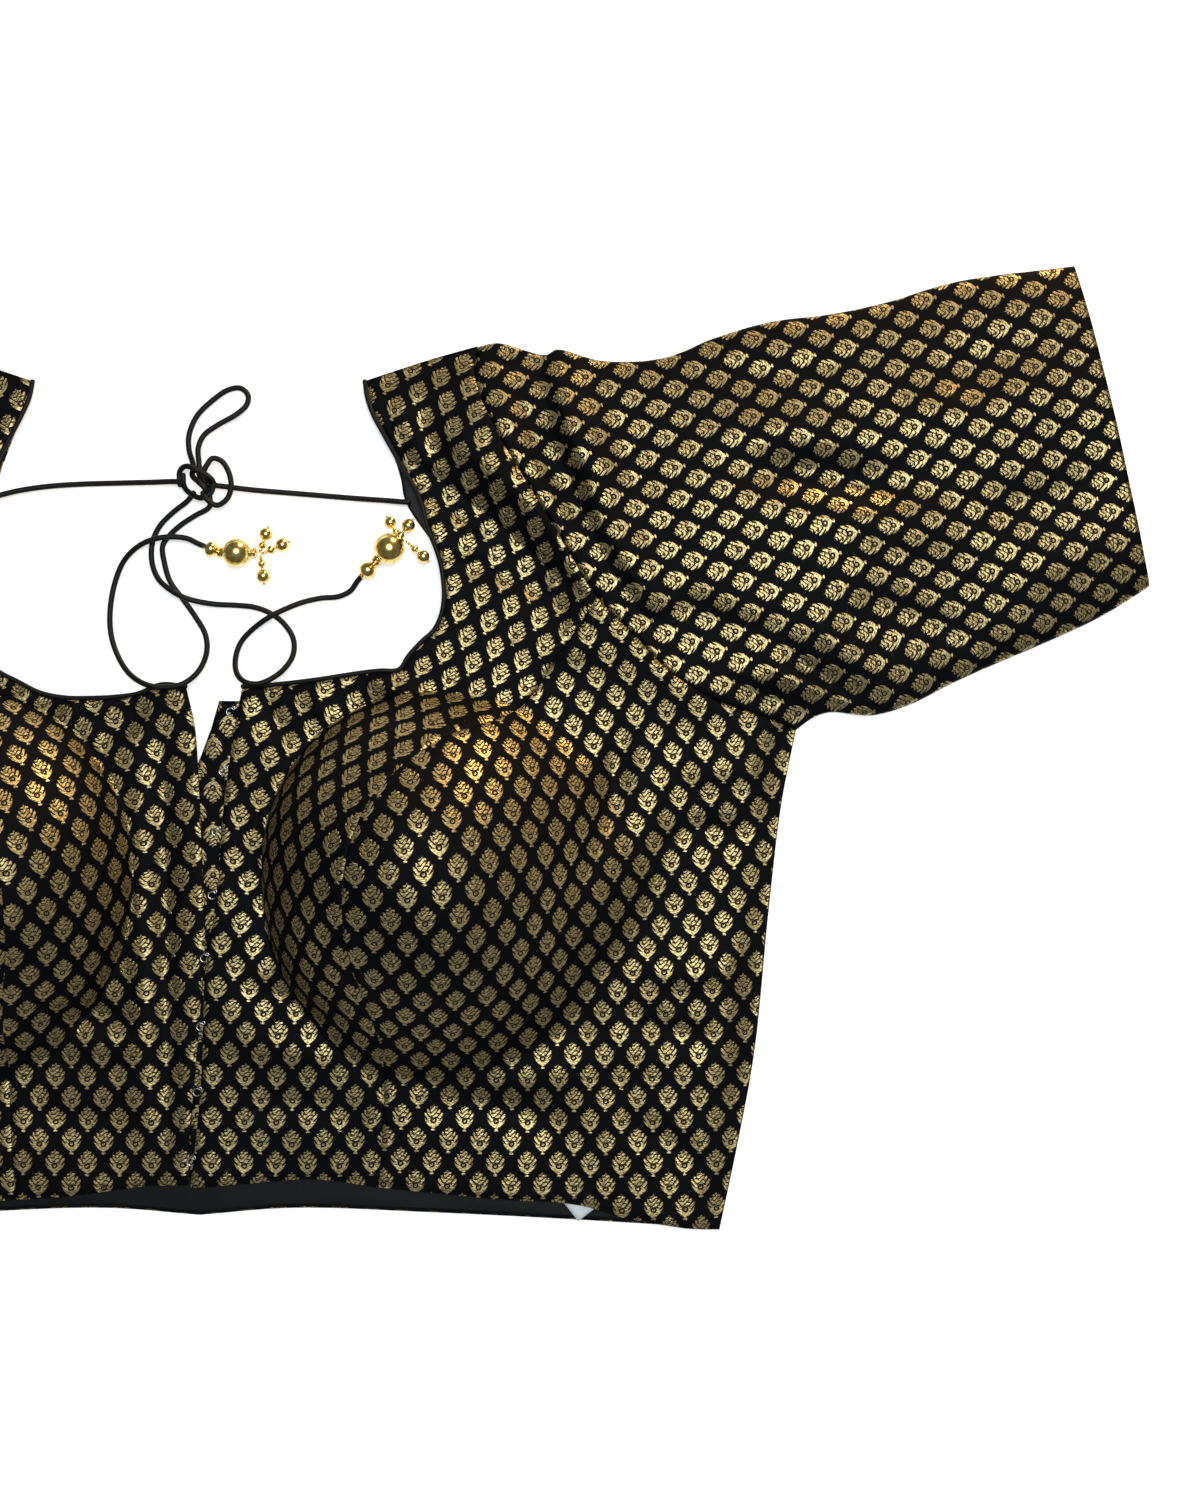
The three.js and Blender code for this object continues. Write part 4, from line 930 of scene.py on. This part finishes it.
def strap_facing_piece(side):
    edge = spaced(BACK_NECK[1:7], 60)
    grid = between(edge + (GAP, 0), edge + (STRAP_FACING_WIDTH, 0), 10).transpose(1, 0, 2)
    strip_piece(
        f"strap_facing_{side}_satin", grid, FACING_UNDER, (4, 7), f"strap_facing_{side}",
        finish("black satin"), side=side,
    )


def placket_piece():
    rows = np.array(PLACKET, float)
    y = np.linspace(rows[0, 0], rows[-1, 0], 121)
    left = np.interp(y, rows[:, 0], rows[:, 1])
    right = np.interp(y, rows[:, 0], rows[:, 2])
    share = np.linspace(0, 1, 13)
    x = left[:, None] + (right - left)[:, None] * share
    grid = np.dstack([x, np.repeat(y[:, None], 13, axis=1)])
    # cut the other way up, so that its motifs hang down
    upside_down = np.dstack([6.1 - x, -grid[..., 1]]) / 10
    strip_piece(
        "placket_cloth", grid, PLACKET_UNDER, (5, 9), "placket_strip",
        finish("zari brocade"), cloth_map=upside_down,
    )


LABEL = {"x": 154.2, "y": -177.5, "width": 18, "length": 26, "turn": 38}


def label_piece():
    across, up = np.meshgrid(np.linspace(-0.5, 0.5, 13), np.linspace(-0.5, 0.5, 19))
    turn = math.radians(LABEL["turn"])
    across, up = across * LABEL["width"], up * LABEL["length"]
    x = LABEL["x"] + across * math.cos(turn) - up * math.sin(turn)
    y = LABEL["y"] + across * math.sin(turn) + up * math.cos(turn)
    strip_piece(
        "size_label_tape", np.dstack([x, y]), PLACKET_UNDER, (6, 4), "size_label",
        finish("cotton tape"), cloth_map=np.dstack([across, up]) / 10,
    )


# ---------------------------------------------------------------- tubes
def tube_points(route, radii, sides):
    """Rings of points round a route; the radii give each ring's size."""
    route = np.asarray(route, float)
    ahead = np.gradient(route, axis=0)
    ahead /= np.linalg.norm(ahead, axis=1, keepdims=True)
    side = np.cross((0, 0, 1), ahead)
    side /= np.maximum(np.linalg.norm(side, axis=1, keepdims=True), 1e-6)
    up = np.cross(ahead, side)
    turn = np.linspace(0, 2 * np.pi, sides + 1)
    ring = np.cos(turn)[None, :, None] * side[:, None] + np.sin(turn)[None, :, None] * up[:, None]
    return route[:, None] + ring * np.asarray(radii)[:, None, None]


def tube_rows(route, radius, sides, cap=4):
    """Rings of a tube whose ends close over a rounded cap, and the line they stand on."""
    route = np.asarray(route, float)
    angles = np.linspace(0, np.pi / 2, cap + 1)[:-1, None]
    into = (route[1] - route[0]) / np.linalg.norm(route[1] - route[0])
    out = (route[-1] - route[-2]) / np.linalg.norm(route[-1] - route[-2])
    head = route[0] - into * radius * 0.6 * np.cos(angles)
    tail = route[-1] + out * radius * 0.6 * np.cos(angles[::-1])
    closing = radius * np.sin(angles[:, 0])
    radii = np.concatenate([closing, np.full(len(route), radius), closing[::-1]])
    line = np.vstack([head, route, tail])
    return tube_points(line, np.maximum(radii, 1e-4), sides), line


def tube_mesh(name, route, radius, sides, side="left"):
    rows, line = tube_rows(route, radius, sides)
    along = np.concatenate([[0], np.cumsum(np.linalg.norm(np.diff(line, axis=0), axis=1))])
    u = np.linspace(0, 2 * math.pi * radius, sides + 1)
    cloth_map = np.dstack(np.meshgrid(u, along)) / 10
    return grid_mesh(name, rows, side, cloth_map=cloth_map, merge=True)


def joined_mesh(name, meshes):
    bm = bmesh.new()
    for mesh in meshes:
        bm.from_mesh(mesh)
        bpy.data.meshes.remove(mesh)
    made = bpy.data.meshes.new(name)
    bm.to_mesh(made)
    bm.free()
    return made


# ---------------------------------------------------------------- neck piping
PIPING_RADIUS = 1.0


def neck_piping_piece(side):
    grid = front_centre_grid(side)
    start = CENTRE_ROWS["centre_edge"] * FINE
    edge = grid[start:, 0]
    ahead = np.gradient(edge, axis=0)
    ahead /= np.linalg.norm(ahead, axis=1, keepdims=True)
    route = edge + np.stack([-ahead[:, 1], ahead[:, 0]], axis=1) * (PIPING_RADIUS - GAP)
    height = np.maximum(
        front_height(route[:, 0], route[:, 1], FRONT_CREASES[side]) + CLOTH / 2, FRONT_EDGE + PIPING_RADIUS
    )
    route = spaced(np.column_stack([route, height])[::4], 150)
    name = f"neck_piping_{side}"
    mesh = tube_mesh(name + "_satin", route, PIPING_RADIUS, 12, side)
    new_object(name + "_satin", mesh, [name], finish("black satin"))


# ---------------------------------------------------------------- cords
CORD_DIAMETER = 2.3
CORDS = {
    "dori_left": [
        (86, 100, 4.0), (75, 101, 2.9), (64, 101.9, 1.8), (50, 103.1, 1.4), (35, 104.3, 1.6),
        (22, 105.3, 2.4), (8, 106.8, 3.9), (3.5, 107.2, 4.4),
    ],
    "dori_right": [
        (-86, 101.5, 4.0), (-74, 104.8, 2.9), (-62, 106.8, 1.8), (-48, 107.8, 1.4), (-33, 108.2, 1.6),
        (-20, 108.4, 2.4), (-8, 108.4, 3.9), (-6.4, 107.9, 4.1),
    ],
    "dori_bow": [
        (-1.6, 112.6, 3.6), (-2.4, 116.2, 2.6), (-4.2, 122, 1.4), (-4.2, 128, 1.3), (-1, 135.6, 1.4),
        (5.6, 142.2, 1.4), (12, 146.4, 1.5), (17, 147, 1.6), (20, 144.2, 1.8), (19.6, 140.2, 2.2),
        (15.6, 136.2, 2.8), (8, 131.6, 3.6), (2.4, 127.2, 4.2), (0.2, 122, 4.4), (0.6, 116.2, 4.9),
        (0.8, 112.4, 5),
    ],
    "dori_ring": [
        (2.6, 111.6, 6.4), (4.2, 114.8, 6.6), (6.4, 117.6, 6), (10, 116.6, 5.6), (13, 111.8, 5.6),
        (13.9, 105.6, 5.9), (12, 101, 5.6), (8, 98.6, 5.6), (3.9, 101.2, 6.4), (2.4, 103.8, 6.2),
    ],
    "dori_tail_left": [
        (4.6, 102.6, 3), (4.4, 98.6, 1.8), (-1.6, 95, 1.3), (-7.4, 91.2, 1.3), (-12.2, 86.8, 1.3),
        (-15, 82.6, 1.3), (-14.3, 75.6, 1.3), (-11.9, 67.9, 1.3), (-7, 61.1, 1.3), (-2, 54.1, 1.3),
        (2.5, 46.3, 1.5), (3.3, 38.8, 2.8), (0.6, 31, 5.9), (-4.9, 26, 8.1), (-11.9, 24.4, 8.4),
        (-19.7, 25.4, 8), (-27.5, 29.9, 5), (-33.2, 37.7, 2.2), (-36.1, 46.3, 1.4), (-36.5, 56.2, 1.3),
        (-34.4, 67.9, 1.4), (-30.3, 76.7, 2.4), (-23.4, 82.6, 4.3), (-16.6, 85.2, 4.8), (-9.8, 85.9, 4.4),
        (-4.1, 85.2, 3.6), (-0.4, 83.4, 3.5), (2.9, 82, 3.6),
    ],
    "dori_tail_right": [
        (-1.8, 104.2, 3), (-4.6, 101, 1.8), (-10.6, 96.4, 1.3), (-15.8, 91.2, 1.3), (-18.6, 86, 1.3),
        (-19.6, 81, 1.3), (-19.2, 75, 1.4), (-16.6, 69, 2.2), (-11.4, 64.4, 3.9), (-5.6, 61.2, 4.6),
        (1, 59.4, 3.2), (7, 58.6, 1.6), (15.6, 58.2, 1.3), (22.6, 57.4, 1.3), (29.1, 55, 1.3),
        (34.9, 50.4, 1.3), (38.5, 44.4, 1.4), (38.6, 38, 2.4), (35.4, 32, 5.4), (30.4, 27.8, 8),
        (25.2, 25.8, 8.4), (20, 26.6, 8), (16.2, 30.2, 5.6), (15.2, 36.2, 3.4), (17, 42.6, 2.4),
        (22.1, 48.2, 3.3), (30, 53.6, 4.7), (36, 56.6, 4.3), (42, 59.2, 2.6), (49.6, 61.1, 1.5),
        (57, 61.8, 1.4), (62, 64.2, 1.6), (64.4, 67.4, 2.2), (66.8, 70.1, 3.6),
    ],
}
# far end, how it lies, and the start of the names of the pieces on it
CORD_ENDS = {
    "dori_left": ("knot", "taut", "dori_knot"), "dori_right": ("knot", "taut", ""),
    "dori_bow": ("object", "loose", ""), "dori_ring": ("object", "loose", ""),
    "dori_tail_left": ("fitting", "loose", "latkan_left"),
    "dori_tail_right": ("fitting", "loose", "latkan_right"),
}
KNOT_MIDDLE = (0, 108.2, 4.6)


def cord_piece(name):
    far_end, lay, on_it = CORD_ENDS[name]
    route = spaced(CORDS[name], 40 + 4 * len(CORDS[name]))
    mesh = tube_mesh(name + "_cord", route, CORD_DIAMETER / 2, 14)
    piece = new_object(name + "_cord", mesh, [name], finish("satin cord"))
    riders = [o for o in bpy.data.objects if on_it and o.name.startswith(on_it) and o.type == "MESH"]
    riders = [o for o in riders if o.name not in frame["nodes"]]


# Strands of the knot, from its middle: over its top, round its foot, and down through both.
KNOT_STRANDS = [
    [
        (-7.2, -1.4, -1), (-7.4, 4.2, -0.4), (-4.6, 6.2, 1.4), (0.6, 4.4, 2.2), (5.6, 1.4, 1.4),
        (7, -1.6, -0.6),
    ],
    [
        (-6.4, 3.4, -2), (-5.8, -1.6, -1.6), (-2.4, -5, 0), (2, -6.6, 1), (5.6, -4.6, 1), (6.2, -0.4, 0.2),
        (3.4, 2.8, -1),
    ],
    [(-1.8, 6.4, -1.4), (-2, 2.6, 0.6), (1, -0.4, 2.4), (3.6, -3.2, 2.2), (4, -7, -0.6)],
    [(0.6, 6.6, -1), (0.4, 3.2, -1.4), (2.6, 0.4, -1), (4.6, -1.8, -1.4), (1, -6.2, -2)],
]


def knot_piece():
    """A pulled knot: short strands that cross over each other, with a small gap left inside."""
    meshes = [
        tube_mesh("strand", spaced(np.array(strand) + KNOT_MIDDLE, 48), CORD_DIAMETER / 2, 12)
        for strand in KNOT_STRANDS
    ]
    mesh = joined_mesh("dori_knot_wraps", meshes)
    new_object("dori_knot_wraps", mesh, ["dori_knot"], finish("satin cord"))


# ---------------------------------------------------------------- bead tassels
# name, kind, start, end, height of both ends, radius
BEADS = [
    ("latkan_left_small_ball", "ball", (2.6, 82.1), (8, 79.9), 3.6, 3.3),
    ("latkan_left_spacer", "spacer", (8.35, 79.8), (9.75, 79.5), 3.8, 2.4),
    ("latkan_left_big_ball", "ball", (10.1, 79.3), (22, 79.3), 6, 5.8),
    ("latkan_left_cap", "cap", (22.4, 79.3), (24.4, 79.3), 5.4, 2.2),
    ("latkan_left_dangle_1", "dangle", (25.6, 81.6), (28.6, 90.6), 2.6, 2.3),
    ("latkan_left_dangle_2", "dangle", (27.6, 79.9), (37.6, 84.4), 2.6, 2.4),
    ("latkan_left_dangle_3", "dangle", (25.6, 76.8), (26.9, 66.4), 2.6, 2.4),
    ("latkan_right_small_ball", "ball", (66.6, 69.9), (71.8, 74.9), 3.8, 3.6),
    ("latkan_right_spacer", "spacer", (72.1, 75.2), (73.2, 76.2), 4.2, 2.6),
    ("latkan_right_big_ball", "ball", (73.5, 76.5), (82.9, 85.3), 6.5, 6.3),
    ("latkan_right_dangle_1", "dangle", (80.6, 88.2), (76.6, 95), 2.6, 2.1),
    ("latkan_right_dangle_2", "dangle", (83.6, 87.4), (88.2, 93.2), 5.4, 2.3),
    ("latkan_right_dangle_3", "dangle", (86.4, 82.8), (94.6, 75.4), 5.4, 2.2),
]
WIRE = 0.55
JOIN = 0.35  # how far each bead reaches over the gap to the next
DANGLE_SWELL = 1.2  # a dangle's beads, over the size of its solid


def arc_rows(radius, low, high, steps=9, least=0.0):
    """Rows of radius and place for a round bead between two places along its axis."""
    turns = np.linspace(0, np.pi, steps + 1)
    return [
        (max(least, radius * math.sin(t)), low + (high - low) * (1 - math.cos(t)) / 2) for t in turns
    ]


def bead_rows(kind, radius, length):
    if kind == "ball":
        collar = 0.34 * radius
        ball = arc_rows(radius, 0.2, length - 0.2, 18, collar)
        return [(0, -JOIN), (collar, -JOIN), *ball, (collar, length + JOIN), (0, length + JOIN)]
    if kind == "cap":
        return [(0, 0), *arc_rows(radius, 0, length, 8, 0.5), (0, length)]
    if kind == "spacer":
        bulge = arc_rows(radius, 0, length * 0.48, 6, radius * 0.8) + arc_rows(
            radius, length * 0.52, length, 6, radius * 0.8
        )
        return [(0, 0), *bulge, (0, length)]
    radius *= DANGLE_SWELL
    top = length - 0.9
    low = top - 2 * radius * 0.98
    small = arc_rows(0.6 * radius, low - 1.3 * radius, low - 0.25 * radius, 8, WIRE)
    tip = arc_rows(0.6, top + 0.05, length, 5, 0.0)
    return [(0, 0), (WIRE, 0), *small, (WIRE, low - 0.1), *arc_rows(radius, low, top, 14, WIRE), *tip]


def turned_mesh(name, rows, segments):
    """A turned shape about +Z from rows of radius and place."""
    bm = bmesh.new()
    verts = [bm.verts.new((radius, 0, place)) for radius, place in rows]
    edges = [bm.edges.new(pair) for pair in zip(verts, verts[1:])]
    bmesh.ops.spin(
        bm, geom=verts + edges, cent=(0, 0, 0), axis=(0, 0, 1), angle=2 * math.pi, steps=segments,
        use_merge=True,
    )
    bmesh.ops.remove_doubles(bm, verts=bm.verts, dist=1e-4)
    bmesh.ops.recalc_face_normals(bm, faces=bm.faces)
    mesh = bpy.data.meshes.new(name)
    bm.to_mesh(mesh)
    bm.free()
    return mesh


def bead_piece(row):
    name, kind, start, end, height, radius = row
    foot = Vector((*start, height))
    line = Vector((*end, height)) - foot
    mesh = turned_mesh(name + "_brass", bead_rows(kind, radius, line.length), 32)
    meshes = [mesh]
    if kind == "dangle":
        t = np.linspace(0, 2 * np.pi, 25)
        eye = np.column_stack([0.95 * np.cos(t), 0.25 * np.sin(2 * t) * 0.4, 0.95 * np.sin(t) - 0.7])
        meshes.append(tube_mesh("eye", eye, WIRE * 0.85, 8))
        for vert in meshes[-1].vertices:
            vert.co /= MM
    mesh = joined_mesh(name + "_brass", meshes)
    place = Matrix.Translation(foot) @ line.to_track_quat("Z", "X").to_matrix().to_4x4()
    mesh.transform(Matrix.Scale(MM, 4) @ place)
    new_object(name + "_brass", mesh, [name], finish("polished brass"))


# ---------------------------------------------------------------- hooks
HOOK_RADIUS = 1.5
HOOK_WIRE = 0.34
# x, y, and whether it bridges the fronts instead of lying on the placket
HOOKS = [
    (13.3, 14.5, False), (10.3, -9.8, False), (7.4, -34.4, False), (5.9, -60.3, False),
    (3, -85.7, True), (1.4, -113.6, True), (0, -140.2, True), (-2.4, -168.5, True),
]


def hook_piece(index, x, y, over):
    surface = FRONT_FLAT + CLOTH if over else PLACKET_UNDER + FACING
    z = surface + GAP + HOOK_WIRE
    turns = np.radians(np.linspace(50, 308, 33))
    bill = np.column_stack([x + HOOK_RADIUS * np.cos(turns), y + HOOK_RADIUS * np.sin(turns)])
    t = np.radians(np.linspace(230, -130, 25))
    eye = np.column_stack([0.55 * np.cos(t), 0.55 * np.sin(t)])
    route = np.vstack([bill[0] - eye[-1] + eye[:-1], bill])
    route = np.column_stack([route, np.full(len(route), z)])
    name = f"hook_{index}"
    mesh = tube_mesh(name + "_wire", spaced(route, 90), HOOK_WIRE, 10)
    new_object(name + "_wire", mesh, [name], finish("nickelled steel"))


# ---------------------------------------------------------------- stage
# name, place, the point it shines at, diameter, power, colour
LIGHTS = [
    ("cool soft box", (0.33, 0.24, 1.7), (0.1, 0, 0), 1.0, 23, (0.9, 0.96, 1)),
    ("warm lamp", (0.75, 1.25, 0.36), (0.15, 0.02, 0), 0.45, 17, (1, 0.7, 0.38)),
]
CAMERA = {"place": (0.164, -0.001, 0.75), "lens": 43.9, "sensor": 36}
TABLE_DROP = 0.4 * MM  # leaves the table just under the cloth


def soft_light(name, place, towards, size, power, colour):
    data = bpy.data.lights.new(name, "AREA")
    data.shape = "DISK"
    data.size = size
    data.energy = power
    data.color = colour
    lamp = bpy.data.objects.new(name, data)
    bpy.context.scene.collection.objects.link(lamp)
    lamp.location = place
    lamp.rotation_euler = (Vector(towards) - Vector(place)).to_track_quat("-Z", "Y").to_euler()


def stage_pieces():
    scene = bpy.context.scene
    bm = bmesh.new()
    bmesh.ops.create_grid(bm, x_segments=8, y_segments=8, size=3)
    mesh = bpy.data.meshes.new("table")
    bm.to_mesh(mesh)
    bm.free()
    table = bpy.data.objects.new("table", mesh)
    mesh.transform(Matrix.Translation((0, 0, -TABLE_DROP)))
    scene.collection.objects.link(table)
    material, tree = new_material("matt white card")
    place = add_node(tree, "TexCoord").node.outputs["Object"]
    grain = add_node(tree, "TexNoise", {"Vector": place, "Scale": 700.0})
    bump = add_node(tree, "Bump", {"Height": grain, "Strength": 0.04, "Distance": 0.1 * MM})
    shader = add_node(
        tree, "BsdfPrincipled",
        {
            "Base Color": (0.9, 0.9, 0.9, 1), "Roughness": 0.9, "Specular IOR Level": 0.1, "Normal": bump,
            "Emission Color": (1, 1, 1, 1), "Emission Strength": 0.45,
        },
    )
    add_node(tree, "OutputMaterial", {"Surface": shader})
    mesh.materials.append(material)

    world = bpy.data.worlds.new("dim studio")
    world.use_nodes = True
    world.node_tree.nodes["Background"].inputs["Color"].default_value = (0.9, 0.95, 1, 1)
    world.node_tree.nodes["Background"].inputs["Strength"].default_value = 0.14
    scene.world = world
    for light in LIGHTS:
        soft_light(*light)
    scene.view_settings.view_transform = "Standard"

    data = bpy.data.cameras.new("camera")
    data.lens = CAMERA["lens"]
    data.sensor_width = CAMERA["sensor"]
    data.clip_start = 0.01
    camera = bpy.data.objects.new("camera", data)
    scene.collection.objects.link(camera)
    camera.location = CAMERA["place"]
    scene.camera = camera


# ---------------------------------------------------------------- properties
class CHOLI_cloth(bpy.types.PropertyGroup):
    seam_ditch: bpy.props.FloatProperty(
        name="Seam ditch", description="How deep the cloth turns down into a sewn seam",
        default=0.55 * MM, min=0, max=1.5 * MM, precision=5, subtype="DISTANCE", unit="LENGTH",
    )
    crease_depth: bpy.props.FloatProperty(
        name="Crease depth", description="Strength of the creases placed by hand",
        default=1.0, min=0, max=1.5, subtype="FACTOR",
    )


class CHOLI_weave(bpy.types.PropertyGroup):
    motif_width: bpy.props.FloatProperty(
        name="Motif spacing", description="Distance between motifs side by side in one row",
        default=12.8 * MM, min=9 * MM, precision=4, subtype="DISTANCE", unit="LENGTH",
    )
    motif_height: bpy.props.FloatProperty(
        name="Row spacing", description="Distance between one motif and the next above it",
        default=17.8 * MM, min=14 * MM, precision=4, subtype="DISTANCE", unit="LENGTH",
    )


def colour_property(label, description, hex_colour):
    return bpy.props.FloatVectorProperty(
        name=label, description=description, default=linear(hex_colour), subtype="COLOR", min=0, max=1,
    )


class CHOLI_colours(bpy.types.PropertyGroup):
    # zari and zari_shade are a lit and a shaded copy of the gold, mixed along the wefts as painted
    # highlight and painted shade
    zari: colour_property("Zari", "Gold yarn where it catches the light", "#d2bb84")
    zari_shade: colour_property("Zari in shade", "Gold yarn between its threads", "#62573a")
    ground: colour_property("Ground", "Black warp of the brocade", "#08090b")
    ground_deep: colour_property("Deep ground", "Black warp where it is not worn", "#040506")
    satin: colour_property("Satin", "Plain black facing", "#0b0c0d")
    cord: colour_property("Cord", "Black satin cord", "#0c0c0d")
    brass: colour_property("Brass", "Polished bead", "#ffe79a")
    steel: colour_property("Steel", "Nickelled hook", "#d8dadb")
    tape: colour_property("Tape", "White cotton label", "#f1f4f5")


# ---------------------------------------------------------------- operators
class CHOLI_OT_stage(bpy.types.Operator):
    """Lays a white table under soft light, and sets the camera straight above it"""

    bl_idname = "choli.stage"
    bl_label = "Stage"

    def execute(self, context):
        stage_pieces()
        return {"FINISHED"}


class CHOLI_OT_knot(bpy.types.Operator):
    """Ties the knot where the two cords meet"""

    bl_idname = "choli.knot"
    bl_label = "Knot"

    def execute(self, context):
        knot_piece()
        return {"FINISHED"}


class CHOLI_OT_latkans(bpy.types.Operator):
    """Turns the brass beads of both tassels"""

    bl_idname = "choli.latkans"
    bl_label = "Bead tassels"

    def execute(self, context):
        for row in BEADS:
            bead_piece(row)
        return {"FINISHED"}


class CHOLI_OT_cords(bpy.types.Operator):
    """Lays the satin cords: two from the straps, a bow, a ring and two tails"""

    bl_idname = "choli.cords"
    bl_label = "Cords"

    def execute(self, context):
        for name in CORDS:
            cord_piece(name)
        return {"FINISHED"}


class CHOLI_OT_back(bpy.types.Operator):
    """Cuts the back, which lies on the table"""

    bl_idname = "choli.back"
    bl_label = "Back"

    def execute(self, context):
        back_piece()
        return {"FINISHED"}


class CHOLI_OT_facings(bpy.types.Operator):
    """Adds the hem and strap facings, the placket and the label"""

    bl_idname = "choli.facings"
    bl_label = "Facings"

    def execute(self, context):
        hem_facing_piece()
        for side in FRONTS:
            strap_facing_piece(side)
        placket_piece()
        label_piece()
        return {"FINISHED"}


class CHOLI_OT_fronts(bpy.types.Operator):
    """Shapes the four panels of the fronts over their cups, and flattens each for its weave"""

    bl_idname = "choli.fronts"
    bl_label = "Fronts"

    def execute(self, context):
        for side in FRONTS:
            front_panel("centre", side)
            front_panel("side", side)
        return {"FINISHED"}


class CHOLI_OT_sleeves(bpy.types.Operator):
    """Shapes both sleeves as open tubes with creases"""

    bl_idname = "choli.sleeves"
    bl_label = "Sleeves"

    def execute(self, context):
        for side in FRONTS:
            sleeve_piece(side)
        return {"FINISHED"}


class CHOLI_OT_piping(bpy.types.Operator):
    """Rolls the satin piping along the neck edges"""

    bl_idname = "choli.piping"
    bl_label = "Neck piping"

    def execute(self, context):
        for side in FRONTS:
            neck_piping_piece(side)
        return {"FINISHED"}


class CHOLI_OT_hooks(bpy.types.Operator):
    """Bends the wire hooks of the front opening"""

    bl_idname = "choli.hooks"
    bl_label = "Hooks"

    def execute(self, context):
        for index, (x, y, over) in enumerate(HOOKS, start=1):
            hook_piece(index, x, y, over)
        return {"FINISHED"}


OPERATORS = [
    CHOLI_OT_stage, CHOLI_OT_knot, CHOLI_OT_latkans, CHOLI_OT_cords, CHOLI_OT_back, CHOLI_OT_facings,
    CHOLI_OT_fronts, CHOLI_OT_sleeves, CHOLI_OT_piping, CHOLI_OT_hooks,
]
GROUPS = {"choli_cloth": CHOLI_cloth, "choli_weave": CHOLI_weave, "choli_colours": CHOLI_colours}


class CHOLI_PT_blouse(bpy.types.Panel):
    """Lists the blouse's sizes, colours and pieces"""

    bl_label = "Choli Blouse"
    bl_idname = "CHOLI_PT_blouse"
    bl_space_type = "VIEW_3D"
    bl_region_type = "UI"
    bl_category = "Blouse"

    def draw(self, context):
        for group, kind in GROUPS.items():
            box = self.layout.box()
            for name in kind.__annotations__:
                box.prop(getattr(context.scene, group), name)
        for operator in OPERATORS:
            self.layout.operator(operator.bl_idname)


def register():
    for kind in (*GROUPS.values(), *OPERATORS, CHOLI_PT_blouse):
        bpy.utils.register_class(kind)
    for name, kind in GROUPS.items():
        setattr(bpy.types.Scene, name, bpy.props.PointerProperty(type=kind))


def unregister():
    for name in GROUPS:
        delattr(bpy.types.Scene, name)
    for kind in (CHOLI_PT_blouse, *reversed(OPERATORS), *GROUPS.values()):
        bpy.utils.unregister_class(kind)


def main():
    register()
    for operator in OPERATORS:
        getattr(bpy.ops.choli, operator.bl_idname.split(".")[1])()


if __name__ == "__main__":
    main()
